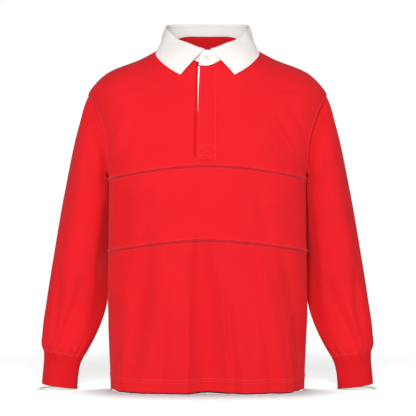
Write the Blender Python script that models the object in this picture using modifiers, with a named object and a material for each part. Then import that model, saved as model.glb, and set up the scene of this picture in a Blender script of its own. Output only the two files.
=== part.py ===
"""Long-sleeved polo shirt in heavy jersey, filled out as if worn, with a white collar and ribbed cuffs.

Metres, +Z up, front towards -Y, the wearer's left at +X. The origin is the middle of the neck
opening, level with the inner ends of the shoulder seams, where the wearer carries the shirt.
"""

import math
from collections import namedtuple

import bmesh
import bpy
import numpy as np
from mathutils import Matrix, Vector

# Cloth walls and the clearance between pieces
BODY_WALL = 0.0016
HEM_WALL = 0.0030
COLLAR_WALL = 0.0020
CUFF_WALL = 0.0026
FACING_WALL = 0.0010
SEAM_GAP = 0.0004
LAYER_GAP = 0.0005

# Torso: horizontal rings from hem to neck. level is the distance up the cloth from the hem.
Section = namedtuple(
    "Section",
    "name level front_z side_z back_z half_width centre_y front_depth back_depth squareness",
)
SECTIONS = (
    Section("hem", 0.000, -0.771, -0.771, -0.771, 0.2185, -0.010, 0.108, 0.110, 2.8),
    Section("hip", 0.160, -0.608, -0.614, -0.612, 0.2245, -0.010, 0.111, 0.115, 2.8),
    Section("waist", 0.320, -0.439, -0.465, -0.460, 0.2225, -0.010, 0.114, 0.120, 2.8),
    Section("chest", 0.480, -0.277, -0.305, -0.300, 0.2215, -0.008, 0.117, 0.124, 2.8),
    Section("arm_low", 0.540, -0.233, -0.247, -0.243, 0.2400, -0.003, 0.119, 0.122, 2.7),
    Section("arm_mid", 0.590, -0.198, -0.196, -0.198, 0.2530, 0.000, 0.118, 0.118, 2.6),
    Section("arm_high", 0.630, -0.171, -0.153, -0.158, 0.2620, 0.003, 0.115, 0.112, 2.5),
    Section("tip", 0.665, -0.148, -0.114, -0.122, 0.2690, 0.005, 0.113, 0.107, 2.4),
    Section("cap", 0.695, -0.132, -0.089, -0.098, 0.2540, 0.005, 0.110, 0.103, 2.4),
    Section("slope", 0.730, -0.117, -0.063, -0.072, 0.2250, 0.004, 0.105, 0.099, 2.3),
    Section("shoulder", 0.805, -0.092, -0.032, -0.028, 0.1500, 0.002, 0.097, 0.090, 2.2),
    Section("neck", 0.885, -0.053, 0.005, 0.027, 0.0830, 0.000, 0.085, 0.067, 2.1),
)
FRONT_ARCH = 1.7
BACK_ARCH = 5.0
UNDERARM_LEVEL = 0.492
LEVELS = {s.name: s.level for s in SECTIONS} | {"underarm": UNDERARM_LEVEL}

# Armholes: how far each reaches forward and back of the side seam, in degrees round a ring
ARMHOLE_FRONT = 27.0
ARMHOLE_BACK = 30.0
ARMHOLE_FULLNESS = 0.48
SIDE = math.pi / 2

# Grid counts
PANEL_COLUMNS = 14
BACK_COLUMNS = 14
BEND_WEIGHT = 0.06

# Steps for working out normals and lengths along the form
ANGLE_STEP = 0.012
LEVEL_STEP = 0.002
FINE_STEPS = 300
ARMHOLE_ROWS = 10
SHOULDER_ROWS = 6
LOWER_ROWS = 8
MIDDLE_ROWS = 4

# Turned-up hem, and the length over which its double wall thins to a single one
HEM_DEPTH = 0.028
HEM_STEP = 0.002

# Soft folds of the body. Places in metres on the front or back; depth is positive for a ridge.
Fold = namedtuple("Fold", "name face top_x top_z foot_x foot_z half_width depth")
FOLDS = (
    Fold("centre_trough", -1, -0.026, -0.460, -0.040, -0.790, 0.022, -0.0075),
    Fold("centre_ridge", -1, 0.012, -0.500, 0.014, -0.790, 0.026, 0.0055),
    Fold("inner_trough", -1, 0.056, -0.560, 0.060, -0.790, 0.022, -0.0050),
    Fold("right_drape", -1, -0.120, -0.440, -0.180, -0.780, 0.026, -0.0070),
    Fold("right_crest", -1, -0.085, -0.520, -0.118, -0.780, 0.028, 0.0050),
    Fold("left_drape", -1, 0.122, -0.440, 0.180, -0.780, 0.026, -0.0070),
    Fold("left_crest", -1, 0.100, -0.500, 0.122, -0.780, 0.028, 0.0050),
    Fold("left_pull", -1, 0.120, -0.120, 0.190, -0.300, 0.024, -0.0040),
    Fold("right_pull", -1, -0.130, -0.130, -0.190, -0.300, 0.024, -0.0035),
    Fold("back_left", 1, 0.070, -0.300, 0.095, -0.780, 0.028, -0.0080),
    Fold("back_right", 1, -0.080, -0.260, -0.088, -0.780, 0.026, -0.0070),
    Fold("back_middle", 1, -0.010, -0.380, 0.010, -0.780, 0.030, 0.0070),
    Fold("back_outer_left", 1, 0.135, -0.420, 0.160, -0.780, 0.026, -0.0055),
    Fold("back_outer_right", 1, -0.140, -0.350, -0.165, -0.780, 0.026, -0.0055),
)
FOLD_FACE_DEPTH = 0.04
FOLD_FADE = 0.3

# Sleeve for the wearer's left arm: oval rings down the arm. lean tips a ring outwards, in degrees.
Ring = namedtuple("Ring", "name along x y z half_width half_depth lean")
SLEEVE = (
    Ring("cap", 0.070, 0.2558, 0.007, -0.2485, 0.0726, 0.0740, 61.0),
    Ring("bicep", 0.190, 0.2650, 0.018, -0.3350, 0.0585, 0.0700, 8.0),
    Ring("elbow", 0.325, 0.2835, 0.016, -0.4700, 0.0635, 0.0580, 9.0),
    Ring("forearm", 0.445, 0.2985, 0.010, -0.5900, 0.0672, 0.0420, 11.0),
    Ring("wrist", 0.520, 0.3165, -0.001, -0.6600, 0.0575, 0.0350, 11.5),
    Ring("gather", 0.550, 0.3240, -0.005, -0.6885, 0.0500, 0.0330, 10.0),
    Ring("cuff_seam", 0.560, 0.3247, -0.006, -0.6985, 0.0448, 0.0295, 9.5),
)
SLEEVE_SQUARENESS = 2.2
SLEEVE_ROWS = (0.02, 0.045, 0.07, 0.10, 0.13, 0.16, 0.19, 0.23, 0.27, 0.31, 0.35, 0.39, 0.42, 0.445,
               0.47, 0.495, 0.52, 0.537, 0.55, 0.556, 0.56)
SHOULDER_FOLLOW = 1.3
BODY_CLEARANCE = 0.005
SLEEVE_APART_Z = -0.300

# Creases of the sleeve: angle is round the arm from the outer side, over the front
Crease = namedtuple("Crease", "name angle foot_angle top foot half_angle depth")
CREASES = (
    Crease("inner_fold", 118.0, 132.0, 0.100, 0.470, 15.0, -0.0080),
    Crease("front_crest", 66.0, 60.0, 0.080, 0.500, 22.0, 0.0040),
    Crease("wrist_fold", 100.0, 84.0, 0.400, 0.556, 14.0, -0.0055),
    Crease("elbow_fold", 262.0, 280.0, 0.220, 0.480, 18.0, -0.0070),
)
CREASE_END_POWER = 0.8
GATHER_START = 0.515
GATHER_DEPTH = 0.0016
GATHER_END_POWER = 6

CUFF = (
    Ring("top", 0.0000, 0.3248, -0.006, -0.6990, 0.0448, 0.0295, 9.5),
    Ring("waist", 0.0180, 0.3272, -0.007, -0.7165, 0.0412, 0.0275, 8.5),
    Ring("middle", 0.0420, 0.3300, -0.009, -0.7405, 0.0400, 0.0268, 8.0),
    Ring("mouth", 0.0700, 0.3330, -0.011, -0.7682, 0.0402, 0.0270, 8.0),
)
CUFF_ROWS = 5

# Placket: the slit in the upper front and the two strips that close it
SLIT_HALF_WIDTH = 0.019
SLIT_FOOT_LEVEL = UNDERARM_LEVEL
STRIP_RIGHT_X = 0.0205
Edge = namedtuple("Edge", "level strip_x facing_x")
PLACKET_EDGES = (
    Edge(0.885, -0.0165, -0.0205),
    Edge(0.800, -0.0185, -0.0216),
    Edge(0.660, -0.0208, -0.0214),
    Edge(0.600, -0.0222, -0.0195),
    Edge(UNDERARM_LEVEL, -0.0228, -0.0195),
)
FACING_FOOT_LEVEL = 0.620
FACING_INNER_X = -0.006
UNDERLAP_X = 0.0225
OVERLAP_DROP = 0.0120
STRIP_TOP_GAP = 0.0035
STRIP_ROWS = 12
STRIP_COLUMNS = 4

# Collar: a stand that rises from the neck seam and a leaf that rolls over it
FOLD_HALF_WIDTH = 0.0890
FOLD_CENTRE_Y = -0.001
FOLD_FRONT_DEPTH = 0.0800
FOLD_BACK_DEPTH = 0.0730
FOLD_FRONT_SQUARENESS = 1.8
FOLD_BACK_SQUARENESS = 3.4
FoldHeight = namedtuple("FoldHeight", "y z")
FOLD_HEIGHTS = (
    FoldHeight(-0.081, -0.0185),
    FoldHeight(-0.079, -0.0155),
    FoldHeight(-0.071, -0.0055),
    FoldHeight(-0.053, 0.0065),
    FoldHeight(-0.030, 0.0265),
    FoldHeight(0.000, 0.0390),
    FoldHeight(0.040, 0.0490),
    FoldHeight(0.074, 0.0545),
)
STAND_STEP = 0.0018
STAND_STEP_REACH = math.radians(60)
STAND_CORNER = 0.011
STAND_CORNER_START = 0.001
STAND_ROWS = 4
ROLL_HEIGHT = 0.0050
ROLL_HEIGHT_AT_ENDS = 0.0018
ROLL_DEPTH = 0.0046
RollPoint = namedtuple("RollPoint", "out down")
ROLL = (
    RollPoint(0.06, 0.30),
    RollPoint(0.40, 0.00),
    RollPoint(0.80, 0.24),
    RollPoint(1.00, 0.90),
)
ROLL_FULL_ANGLE = math.radians(50)
LEAF_START_X = 0.0095
STAND_CROSSING_X = (-0.0185, -0.0165, -0.0135, -0.0080, -0.0010, LEAF_START_X)
LeafEdge = namedtuple("LeafEdge", "angle level")
LEAF_EDGE = (
    LeafEdge(22.0, 0.811),
    LeafEdge(45.0, 0.822),
    LeafEdge(62.0, 0.832),
    LeafEdge(90.0, 0.861),
    LeafEdge(130.0, 0.856),
    LeafEdge(180.0, 0.850),
)
LEAF_REST = 0.0022
LEAF_BULGE = 0.0030
LEAF_DROP_ROWS = 5

# Button on the stand
BUTTON_RADIUS = 0.0062
BUTTON_THICKNESS = 0.0022
BUTTON_X = -0.001
BUTTON_HEIGHT_SHARE = 0.52
BUTTON_HOLE_RADIUS = 0.0008
BUTTON_HOLE_PITCH = 0.0013
BUTTON_RIM = 0.0006
BUTTON_CLEARANCE = 0.0008
HOLE_CUTTER_LENGTH = 0.01

RED = (0.84, 0.018, 0.027, 1.0)
CUFF_RED = (0.76, 0.016, 0.024, 1.0)
WHITE = (0.92, 0.89, 0.86, 1.0)


def signed_power(value, exponent):
    return np.sign(value) * np.abs(value) ** exponent


def smooth(knots, values, at):
    """A monotone cubic through (knots, values), read at every number in at."""
    knots, values, at = (np.asarray(a, float) for a in (knots, values, at))
    steps = np.diff(knots)
    slopes = np.diff(values) / steps
    tangents = np.zeros_like(values)
    same_way = slopes[:-1] * slopes[1:] > 0
    before, after = 2 * steps[1:] + steps[:-1], steps[1:] + 2 * steps[:-1]
    safe_first = np.where(same_way, slopes[:-1], 1.0)
    safe_second = np.where(same_way, slopes[1:], 1.0)
    harmonic = (before + after) / (before / safe_first + after / safe_second)
    tangents[1:-1] = np.where(same_way, harmonic, 0.0)
    tangents[0], tangents[-1] = slopes[0], slopes[-1]
    return hermite(knots, values, tangents, at)


def hermite(knots, values, tangents, at):
    """A cubic through the values with the given tangents. Values may be points, one row a knot."""
    place = np.clip(np.searchsorted(knots, at, side="right") - 1, 0, len(knots) - 2)
    step = knots[place + 1] - knots[place]
    t = np.clip((at - knots[place]) / step, 0.0, 1.0)
    if values.ndim > 1:
        t, step = t[..., None], step[..., None]
    rise = 3 * t**2 - 2 * t**3
    return (
        values[place] * (1 - rise)
        + values[place + 1] * rise
        + tangents[place] * step * (t - 2 * t**2 + t**3)
        + tangents[place + 1] * step * (t**3 - t**2)
    )


def section_at(level):
    """Every number of SECTIONS, read smoothly at level."""
    knots = [s.level for s in SECTIONS]
    return {
        field: smooth(knots, [getattr(s, field) for s in SECTIONS], level)
        for field in Section._fields[2:]
    }


def ring_point(level, angle):
    """The plain form of the torso: angle 0 is the front centre, 90 degrees the wearer's left side."""
    level, angle = np.broadcast_arrays(np.asarray(level, float), np.asarray(angle, float))
    s = section_at(level)
    power = 2 / s["squareness"]
    sine, cosine = np.sin(angle), np.cos(angle)
    across = signed_power(sine, power)
    depth = np.where(cosine > 0, s["front_depth"], s["back_depth"])
    middle_z = np.where(cosine > 0, s["front_z"], s["back_z"])
    arch = np.where(cosine > 0, FRONT_ARCH, BACK_ARCH)
    x = s["half_width"] * across
    y = s["centre_y"] - depth * signed_power(cosine, power)
    z = middle_z + (s["side_z"] - middle_z) * np.abs(across) ** arch
    return np.stack([x, y, z], axis=-1)


def ring_normal(level, angle):
    """The outward normal of the plain form."""
    round_step = ring_point(level, angle + ANGLE_STEP) - ring_point(level, angle - ANGLE_STEP)
    above = np.minimum(level + LEVEL_STEP, LEVELS["neck"])
    below = np.maximum(level - LEVEL_STEP, 0.0)
    up_step = ring_point(above, angle) - ring_point(below, angle)
    normal = np.cross(round_step, up_step)
    return normal / np.linalg.norm(normal, axis=-1, keepdims=True)


def fold_depth(point):
    """How far the body's soft folds move the cloth out, at points of the plain form."""
    x, y, z = point[..., 0], point[..., 1], point[..., 2]
    moved = np.zeros_like(x)
    for fold in FOLDS:
        along = (fold.top_z - z) / (fold.top_z - fold.foot_z)
        line_x = fold.top_x + (fold.foot_x - fold.top_x) * along
        fades_in = np.sin(np.clip(along, 0.0, 1.0) * math.pi / 2)
        fades_out = np.clip((1 + FOLD_FADE - along) / FOLD_FADE, 0.0, 1.0)
        on_this_face = np.clip(fold.face * y / FOLD_FACE_DEPTH, 0.0, 1.0)
        reach = fades_in * fades_out * on_this_face
        moved += fold.depth * reach * np.exp(-(((x - line_x) / fold.half_width) ** 2))
    return moved


def torso_surface(level, angle):
    """(point, normal) of the outer face of the cloth on the torso."""
    point = ring_point(level, angle)
    normal = ring_normal(level, angle)
    return point + normal * fold_depth(point)[..., None], normal


def angle_at_x(level, x):
    """The angle at which the front of a ring is at x."""
    s = section_at(np.asarray(level, float))
    share = np.abs(x) / s["half_width"]
    return np.sign(x) * np.arcsin(share ** (s["squareness"] / 2))


def armhole_angle(level, back):
    """The angle of the armhole's front or back edge, which is the side seam outside the armhole."""
    span = LEVELS["tip"] - LEVELS["underarm"]
    along = np.clip((np.asarray(level, float) - LEVELS["underarm"]) / span, 0.0, 1.0)
    share = (4 * along * (1 - along)) ** ARMHOLE_FULLNESS
    reach = math.radians(ARMHOLE_BACK if back else -ARMHOLE_FRONT)
    return SIDE + reach * share


def armhole_levels(back):
    """Levels that split one edge of the armhole into equal lengths, underarm to shoulder tip."""
    fine = np.linspace(LEVELS["underarm"], LEVELS["tip"], FINE_STEPS)
    points = ring_point(fine, armhole_angle(fine, back))
    length = np.concatenate([[0], np.cumsum(np.linalg.norm(np.diff(points, axis=0), axis=1))])
    return np.interp(np.linspace(0, length[-1], ARMHOLE_ROWS + 1), length, fine)


def seam_angle(level, start, end):
    """The angle that stops short of end by half the gap of a seam, coming from start."""
    back_from_end = end + (start - end) * np.linspace(0, 1, FINE_STEPS) ** 3
    points = ring_point(level, back_from_end)
    away = np.linalg.norm(points - points[0], axis=1)
    return float(np.interp(SEAM_GAP / 2, away, back_from_end))


def row_angles(level, start, end, stations, fixed=()):
    """Angles that space a row's columns evenly beyond the fixed ones, closer where it bends."""
    fine = np.linspace(start, seam_angle(level, start, end), FINE_STEPS)
    points = ring_point(level, fine)
    steps = np.diff(points, axis=0)
    lengths = np.linalg.norm(steps, axis=1)
    headings = steps / lengths[:, None]
    bends = np.arccos(np.clip((headings[1:] * headings[:-1]).sum(axis=1), -1, 1))
    length = np.concatenate([[0], np.cumsum(lengths + BEND_WEIGHT * np.append(bends, bends[-1]))])
    first = np.interp(fixed[-1], fine, length) if fixed else 0.0
    spread = np.interp(np.linspace(first, length[-1], stations + 1), length, fine)
    return np.concatenate([fixed[:-1], spread]) if fixed else spread


def front_grid(levels):
    """Angles and levels of a front panel's grid, one row a level."""
    rows = []
    for level in levels:
        slit = float(angle_at_x(level, SLIT_HALF_WIDTH))
        half = row_angles(level, 0.0, float(armhole_angle(level, False)), PANEL_COLUMNS, (0.0, slit))
        rows.append(np.concatenate([-half[:0:-1], half]))
    return np.array(rows), np.array(levels)[:, None] + np.zeros((1, len(rows[0])))


def back_grid(levels):
    """Angles and levels of the back panel's grid, one row a level."""
    rows = []
    for level in levels:
        edge = float(armhole_angle(level, True))
        half = row_angles(level, math.pi, edge, BACK_COLUMNS)[::-1]
        rows.append(np.concatenate([half, 2 * math.pi - half[-2::-1]]))
    return np.array(rows), np.array(levels)[:, None] + np.zeros((1, len(rows[0])))


def cloth_material(name, colour):
    material = bpy.data.materials.new(name)
    material.use_nodes = True
    shader = material.node_tree.nodes["Principled BSDF"]
    shader.inputs["Base Color"].default_value = colour
    shader.inputs["Roughness"].default_value = 0.9
    shader.inputs["Metallic"].default_value = 0.0
    return material


def shorter_split(grid, loop):
    """The two triangles that split a cell along its shorter diagonal, by their corners."""
    a, b, c, d = (grid[row, column % grid.shape[1]] for row, column in loop)
    if np.linalg.norm(a - c) < np.linalg.norm(b - d):
        return (0, 1, 2), (0, 2, 3)
    return (0, 1, 3), (1, 2, 3)


def cloth_wall(name, outer, inner, material, closed=False, cells=None):
    """A closed wall of cloth between two grids of points; cells leaves out the cells that are False."""
    rows, columns = outer.shape[:2]
    wide = columns if closed else columns - 1
    if cells is None:
        cells = np.ones((rows - 1, wide), bool)
    corner = {}
    mesh = bmesh.new()

    def vertex(side, row, column):
        key = (side, row, column % columns)
        if key not in corner:
            grid = outer if side == 0 else inner
            corner[key] = mesh.verts.new(grid[row, column % columns])
        return corner[key]

    def filled(row, column):
        if closed:
            column %= columns
        return 0 <= row < rows - 1 and 0 <= column < wide and cells[row, column]

    for row in range(rows - 1):
        for column in range(wide):
            if not cells[row, column]:
                continue
            loop = ((row, column), (row, column + 1), (row + 1, column + 1), (row + 1, column))
            for triangle in shorter_split(outer, loop):
                mesh.faces.new([vertex(0, *loop[i]) for i in triangle])
                mesh.faces.new([vertex(1, *loop[i]) for i in reversed(triangle)])
            beside = ((row - 1, column), (row, column + 1), (row + 1, column), (row, column - 1))
            for edge, neighbour in enumerate(beside):
                if filled(*neighbour):
                    continue
                a, b = loop[edge], loop[(edge + 1) % 4]
                mesh.faces.new([vertex(0, *b), vertex(0, *a), vertex(1, *a), vertex(1, *b)])
    bmesh.ops.recalc_face_normals(mesh, faces=mesh.faces)
    data = bpy.data.meshes.new(name)
    mesh.to_mesh(data)
    mesh.free()
    data.shade_smooth()
    data.set_sharp_from_angle(angle=math.radians(40))
    data.materials.append(material)
    part = bpy.data.objects.new(name, data)
    bpy.data.collections["shirt"].objects.link(part)
    return part


def panel(name, grid, material, walls=BODY_WALL, cells=None):
    angles, levels = grid
    outer, normal = torso_surface(levels, angles)
    return cloth_wall(name, outer, outer - normal * walls, material, cells=cells)


def make_body(red):
    """The front in three panels, with the placket's slit in the upper one, and the back in one."""
    waist, chest, neck = (LEVELS[k] for k in ("waist", "chest", "neck"))
    half_gap = SEAM_GAP / 2
    hem_rows = [0.0, HEM_DEPTH, HEM_DEPTH + HEM_STEP]
    lower = hem_rows + list(np.linspace(hem_rows[-1], waist - half_gap, LOWER_ROWS)[1:])
    middle = list(np.linspace(waist + half_gap, chest - half_gap, MIDDLE_ROWS + 1))
    shoulder = list(np.linspace(LEVELS["tip"], neck, SHOULDER_ROWS + 1)[1:])
    lower_walls = np.full((len(lower), 1, 1), BODY_WALL)
    lower_walls[:2] = HEM_WALL

    panel("front_lower", front_grid(lower), red, lower_walls)
    panel("front_middle", front_grid(middle), red)
    upper = [chest + half_gap] + list(armhole_levels(False)) + shoulder
    cells = np.ones((len(upper) - 1, 2 * PANEL_COLUMNS + 2), bool)
    cells[1:, PANEL_COLUMNS : PANEL_COLUMNS + 2] = False
    panel("front_upper", front_grid(upper), red, cells=cells)

    back = lower + list(np.linspace(waist, chest, MIDDLE_ROWS + 1)[1:])
    back += list(armhole_levels(True)) + shoulder
    back_walls = np.full((len(back), 1, 1), BODY_WALL)
    back_walls[:2] = HEM_WALL
    panel("back", back_grid(back), red, back_walls)


def torso_half_width(y, z):
    """Half the torso's width at a depth and a height below the underarm."""
    below_arms = [s for s in SECTIONS if s.level < UNDERARM_LEVEL]
    heights = [s.side_z for s in below_arms]
    values = {
        field: np.interp(z, heights, [getattr(s, field) for s in below_arms])
        for field in ("half_width", "centre_y", "front_depth", "back_depth", "squareness")
    }
    away = y - values["centre_y"]
    depth = np.where(away < 0, values["front_depth"], values["back_depth"])
    share = np.clip(np.abs(away) / depth, 0, 1) ** values["squareness"]
    return values["half_width"] * (1 - share) ** (1 / values["squareness"])


def oval(ring, angles):
    """Points of one oval ring; angle 0 is its outer side and 90 degrees its front."""
    lean = math.radians(ring.lean)
    outward = np.array([math.cos(lean), 0.0, math.sin(lean)])
    forward = np.array([0.0, -1.0, 0.0])
    power = 2 / SLEEVE_SQUARENESS
    across = signed_power(np.cos(angles), power)[:, None] * ring.half_width * outward
    deep = signed_power(np.sin(angles), power)[:, None] * ring.half_depth * forward
    return np.array([ring.x, ring.y, ring.z]) + across + deep


def armhole_ring():
    """Points, normals and onward directions round the left armhole: tip, front, underarm, back."""
    front, back = armhole_levels(False)[::-1], armhole_levels(True)[1:-1]
    levels = np.concatenate([front, back])
    angles = np.concatenate([armhole_angle(front, False), armhole_angle(back, True)])
    points, normals = torso_surface(levels, angles)
    round_it = np.roll(points, -1, axis=0) - np.roll(points, 1, axis=0)
    onward = np.cross(normals, round_it)
    return points, normals, onward / np.linalg.norm(onward, axis=1, keepdims=True)


def grid_normals(points):
    """Outward normals of a closed grid, rows down a tube and columns round it."""
    down = np.gradient(points, axis=0)
    around = np.roll(points, -1, axis=1) - np.roll(points, 1, axis=1)
    normal = np.cross(down, around)
    normal /= np.linalg.norm(normal, axis=2, keepdims=True)
    outwards = points - points.mean(axis=1, keepdims=True)
    return normal * np.sign((normal * outwards).sum(axis=2).mean())


def sleeve_points():
    """The left sleeve's outer face, a closed grid of points, and the body's normals at its top."""
    columns = 2 * ARMHOLE_ROWS
    around = np.linspace(0, 2 * math.pi, columns + 1)[:-1]
    start, start_normals, onward = armhole_ring()
    first = SLEEVE[0]
    lean = math.radians(first.lean)
    axis = np.array([math.sin(lean), 0.0, -math.cos(lean)])
    agreement = np.clip((1 + onward @ axis) / 2, 0, 1)[:, None]
    heading = axis + SHOULDER_FOLLOW * agreement * onward
    heading /= np.linalg.norm(heading, axis=1, keepdims=True)
    turn = (heading * onward).sum(axis=1, keepdims=True)
    start = start + SEAM_GAP * (onward * (1 + turn) / 2 + start_normals * (1 - turn) / 2)

    knots = np.array([0.0] + [ring.along for ring in SLEEVE])
    stops = np.stack([start] + [oval(ring, around) for ring in SLEEVE])
    steps = np.diff(knots)[:, None, None]
    slopes = np.diff(stops, axis=0) / steps
    tangents = np.zeros_like(stops)
    tangents[1:-1] = (slopes[:-1] * steps[1:] + slopes[1:] * steps[:-1]) / (steps[1:] + steps[:-1])
    tangents[0] = heading * np.linalg.norm(slopes[0], axis=1, keepdims=True)
    tangents[-1] = slopes[-1]
    rows = np.array((0.0,) + SLEEVE_ROWS)
    columns_done = [
        hermite(knots, stops[:, column], tangents[:, column], rows) for column in range(columns)
    ]
    points = np.stack(columns_done, axis=1)

    normals = grid_normals(points)
    down = rows[:, None]
    for crease in CREASES:
        along = np.clip((down - crease.top) / (crease.foot - crease.top), 0, 1)
        middle = np.radians(crease.angle + (crease.foot_angle - crease.angle) * along)
        away = np.degrees(np.arctan2(np.sin(around - middle), np.cos(around - middle)))
        runs = np.sin(math.pi * along) ** CREASE_END_POWER
        shape = runs * np.exp(-((away / crease.half_angle) ** 2))
        points = points + normals * (crease.depth * shape)[..., None]
    gathered = np.clip((down - GATHER_START) / (rows[-1] - GATHER_START), 0, 1)
    swell = GATHER_DEPTH * gathered * (1 - gathered**GATHER_END_POWER)
    ripple = swell * np.where(np.arange(columns) % 2, 1, -1)
    points = points + normals * ripple[..., None]

    beside_body = points[..., 2] < SLEEVE_APART_Z
    nearest = torso_half_width(points[..., 1], points[..., 2]) + BODY_CLEARANCE
    clear = np.maximum(points[..., 0], nearest)
    points[..., 0] = np.where(beside_body, clear, points[..., 0])
    return points, start_normals


def make_sleeves(red):
    points, start_normals = sleeve_points()
    normals = grid_normals(points)
    leaving = points[1] - points[0]
    ridge = (leaving * start_normals).sum(axis=1, keepdims=True) < 0
    normals[0] = np.where(ridge, start_normals, normals[0])
    inner = points - normals * BODY_WALL
    for name, side in (("sleeve_left", 1), ("sleeve_right", -1)):
        mirror = np.array([side, 1, 1])
        cloth_wall(name, points * mirror, inner * mirror, red, closed=True)


def make_cuffs(cuff_red):
    columns = 2 * ARMHOLE_ROWS
    around = np.linspace(0, 2 * math.pi, columns + 1)[:-1]
    knots = [ring.along for ring in CUFF]
    rows = []
    for along in np.linspace(0, knots[-1], CUFF_ROWS):
        values = [float(smooth(knots, [getattr(r, f) for r in CUFF], along)) for f in Ring._fields[2:]]
        rows.append(oval(Ring("row", along, *values), around))
    points = np.stack(rows)
    inner = points - grid_normals(points) * CUFF_WALL
    for name, side in (("cuff_left", 1), ("cuff_right", -1)):
        mirror = np.array([side, 1, 1])
        cloth_wall(name, points * mirror, inner * mirror, cuff_red, closed=True)


def overlap_drop(x):
    """How far down the cloth the overlapping front end of the neckline sits, at x."""
    return OVERLAP_DROP * np.clip((STRIP_RIGHT_X - x) / (2 * STRIP_RIGHT_X), 0.0, 1.0)


def strip(name, left_x, right_x, levels, lift, wall, material, drops=False):
    """A strip of cloth on the front, made from the front's own points, moved out by lift."""
    rows = []
    for level in levels:
        places = np.linspace(float(left_x(level)), float(right_x(level)), STRIP_COLUMNS)
        share = (level - levels[0]) / (levels[-1] - levels[0])
        row_levels = level - overlap_drop(places) * share * drops
        point, normal = torso_surface(row_levels, angle_at_x(row_levels, places))
        rows.append((point + normal * (lift + wall), point + normal * lift))
    outer, inner = (np.array([row[i] for row in rows]) for i in (0, 1))
    return cloth_wall(name, outer, inner, material)


def make_placket(red, white):
    """The overlap with its white facing, and the underlap behind the slit."""
    edge_levels = [e.level for e in PLACKET_EDGES][::-1]

    def edge_reader(field):
        values = [getattr(e, field) for e in PLACKET_EDGES][::-1]
        return lambda level: smooth(edge_levels, values, level)

    top = LEVELS["neck"] - STRIP_TOP_GAP
    long_rows = np.linspace(SLIT_FOOT_LEVEL, top, STRIP_ROWS)
    facing_rows = np.linspace(FACING_FOOT_LEVEL, top, STRIP_ROWS - 3)
    facing_top = LAYER_GAP + FACING_WALL
    strip("placket_overlap", edge_reader("strip_x"), lambda _: STRIP_RIGHT_X, long_rows,
          facing_top + LAYER_GAP, BODY_WALL, red, drops=True)
    strip("placket_facing", edge_reader("facing_x"), lambda _: FACING_INNER_X, facing_rows,
          LAYER_GAP, FACING_WALL, white, drops=True)
    strip("placket_underlap", lambda _: -UNDERLAP_X, lambda _: UNDERLAP_X, long_rows,
          -2 * BODY_WALL - LAYER_GAP, BODY_WALL, red)


def neck_angle(x):
    return float(angle_at_x(LEVELS["neck"], x))


def fold_ring(angle):
    """The line along which the leaf rolls over the stand."""
    cosine = np.cos(angle)
    power = 2 / np.where(cosine > 0, FOLD_FRONT_SQUARENESS, FOLD_BACK_SQUARENESS)
    depth = np.where(cosine > 0, FOLD_FRONT_DEPTH, FOLD_BACK_DEPTH)
    x = FOLD_HALF_WIDTH * signed_power(np.sin(angle), power)
    y = FOLD_CENTRE_Y - depth * signed_power(cosine, power)
    z = smooth([h.y for h in FOLD_HEIGHTS], [h.z for h in FOLD_HEIGHTS], y)
    return np.stack([x, y, z], axis=-1)


def roll_height(turn):
    """How far the stand's top edge is below the fold, less towards the two front ends."""
    from_front = np.minimum(np.abs(turn), np.abs(2 * math.pi - turn))
    share = np.clip(from_front / ROLL_FULL_ANGLE, 0, 1)
    return ROLL_HEIGHT_AT_ENDS + (ROLL_HEIGHT - ROLL_HEIGHT_AT_ENDS) * share


def level_outward(points):
    """Horizontal outward directions along an open run of points that goes round the neck."""
    along = np.gradient(points, axis=0)
    outward = np.stack([along[:, 1], -along[:, 0], np.zeros(len(points))], axis=1)
    return outward / np.linalg.norm(outward, axis=1, keepdims=True)


def stand_turns():
    """Angles of the stand's columns, which are those of the panels' top rows outside the slit."""
    neck = LEVELS["neck"]
    front = row_angles(neck, 0.0, SIDE, PANEL_COLUMNS, (0.0, neck_angle(SLIT_HALF_WIDTH)))[1:-1]
    back = row_angles(neck, math.pi, SIDE, BACK_COLUMNS)[-2::-1]
    crossing = [neck_angle(x) for x in STAND_CROSSING_X]
    half = np.concatenate([crossing, front, [SIDE], back])
    return np.concatenate([half, 2 * math.pi - half[-2::-1]])


def stand_rows():
    """Rows of the stand from the neck seam up, with the directions that face out of the neck."""
    turn = stand_turns()
    plain = ring_point(LEVELS["neck"], turn)
    drop = np.where(turn < STAND_STEP_REACH, overlap_drop(plain[:, 0]), 0.0)
    level = LEVELS["neck"] - drop
    foot, _ = torso_surface(level, np.where(drop > 0, angle_at_x(level, plain[:, 0]), turn))
    head = fold_ring(turn)
    head[:, 2] -= roll_height(turn)
    outward = level_outward(plain)
    fading = STAND_STEP_REACH - abs(turn[0])
    over = np.clip((STAND_STEP_REACH - turn) / fading, 0, 1)
    under = np.clip((STAND_STEP_REACH - 2 * math.pi + turn) / fading, 0, 1)
    step = (over - under)[:, None] * STAND_STEP
    foot = foot + outward * step + [0, 0, LAYER_GAP]
    head = head + outward * step
    from_end = np.where(turn < math.pi, foot[:, 0] - foot[0, 0], STAND_CORNER)
    short = STAND_CORNER - np.clip(from_end, STAND_CORNER_START, STAND_CORNER)
    head[:, 2] -= STAND_CORNER - np.sqrt(STAND_CORNER**2 - short**2)
    return foot, head, outward


def make_stand(white):
    foot, head, outward = stand_rows()
    shares = np.linspace(0, 1, STAND_ROWS)[:, None, None]
    points = foot * (1 - shares) + head * shares
    half = outward * COLLAR_WALL / 2
    cloth_wall("collar_stand", points + half, points - half, white)


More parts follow.
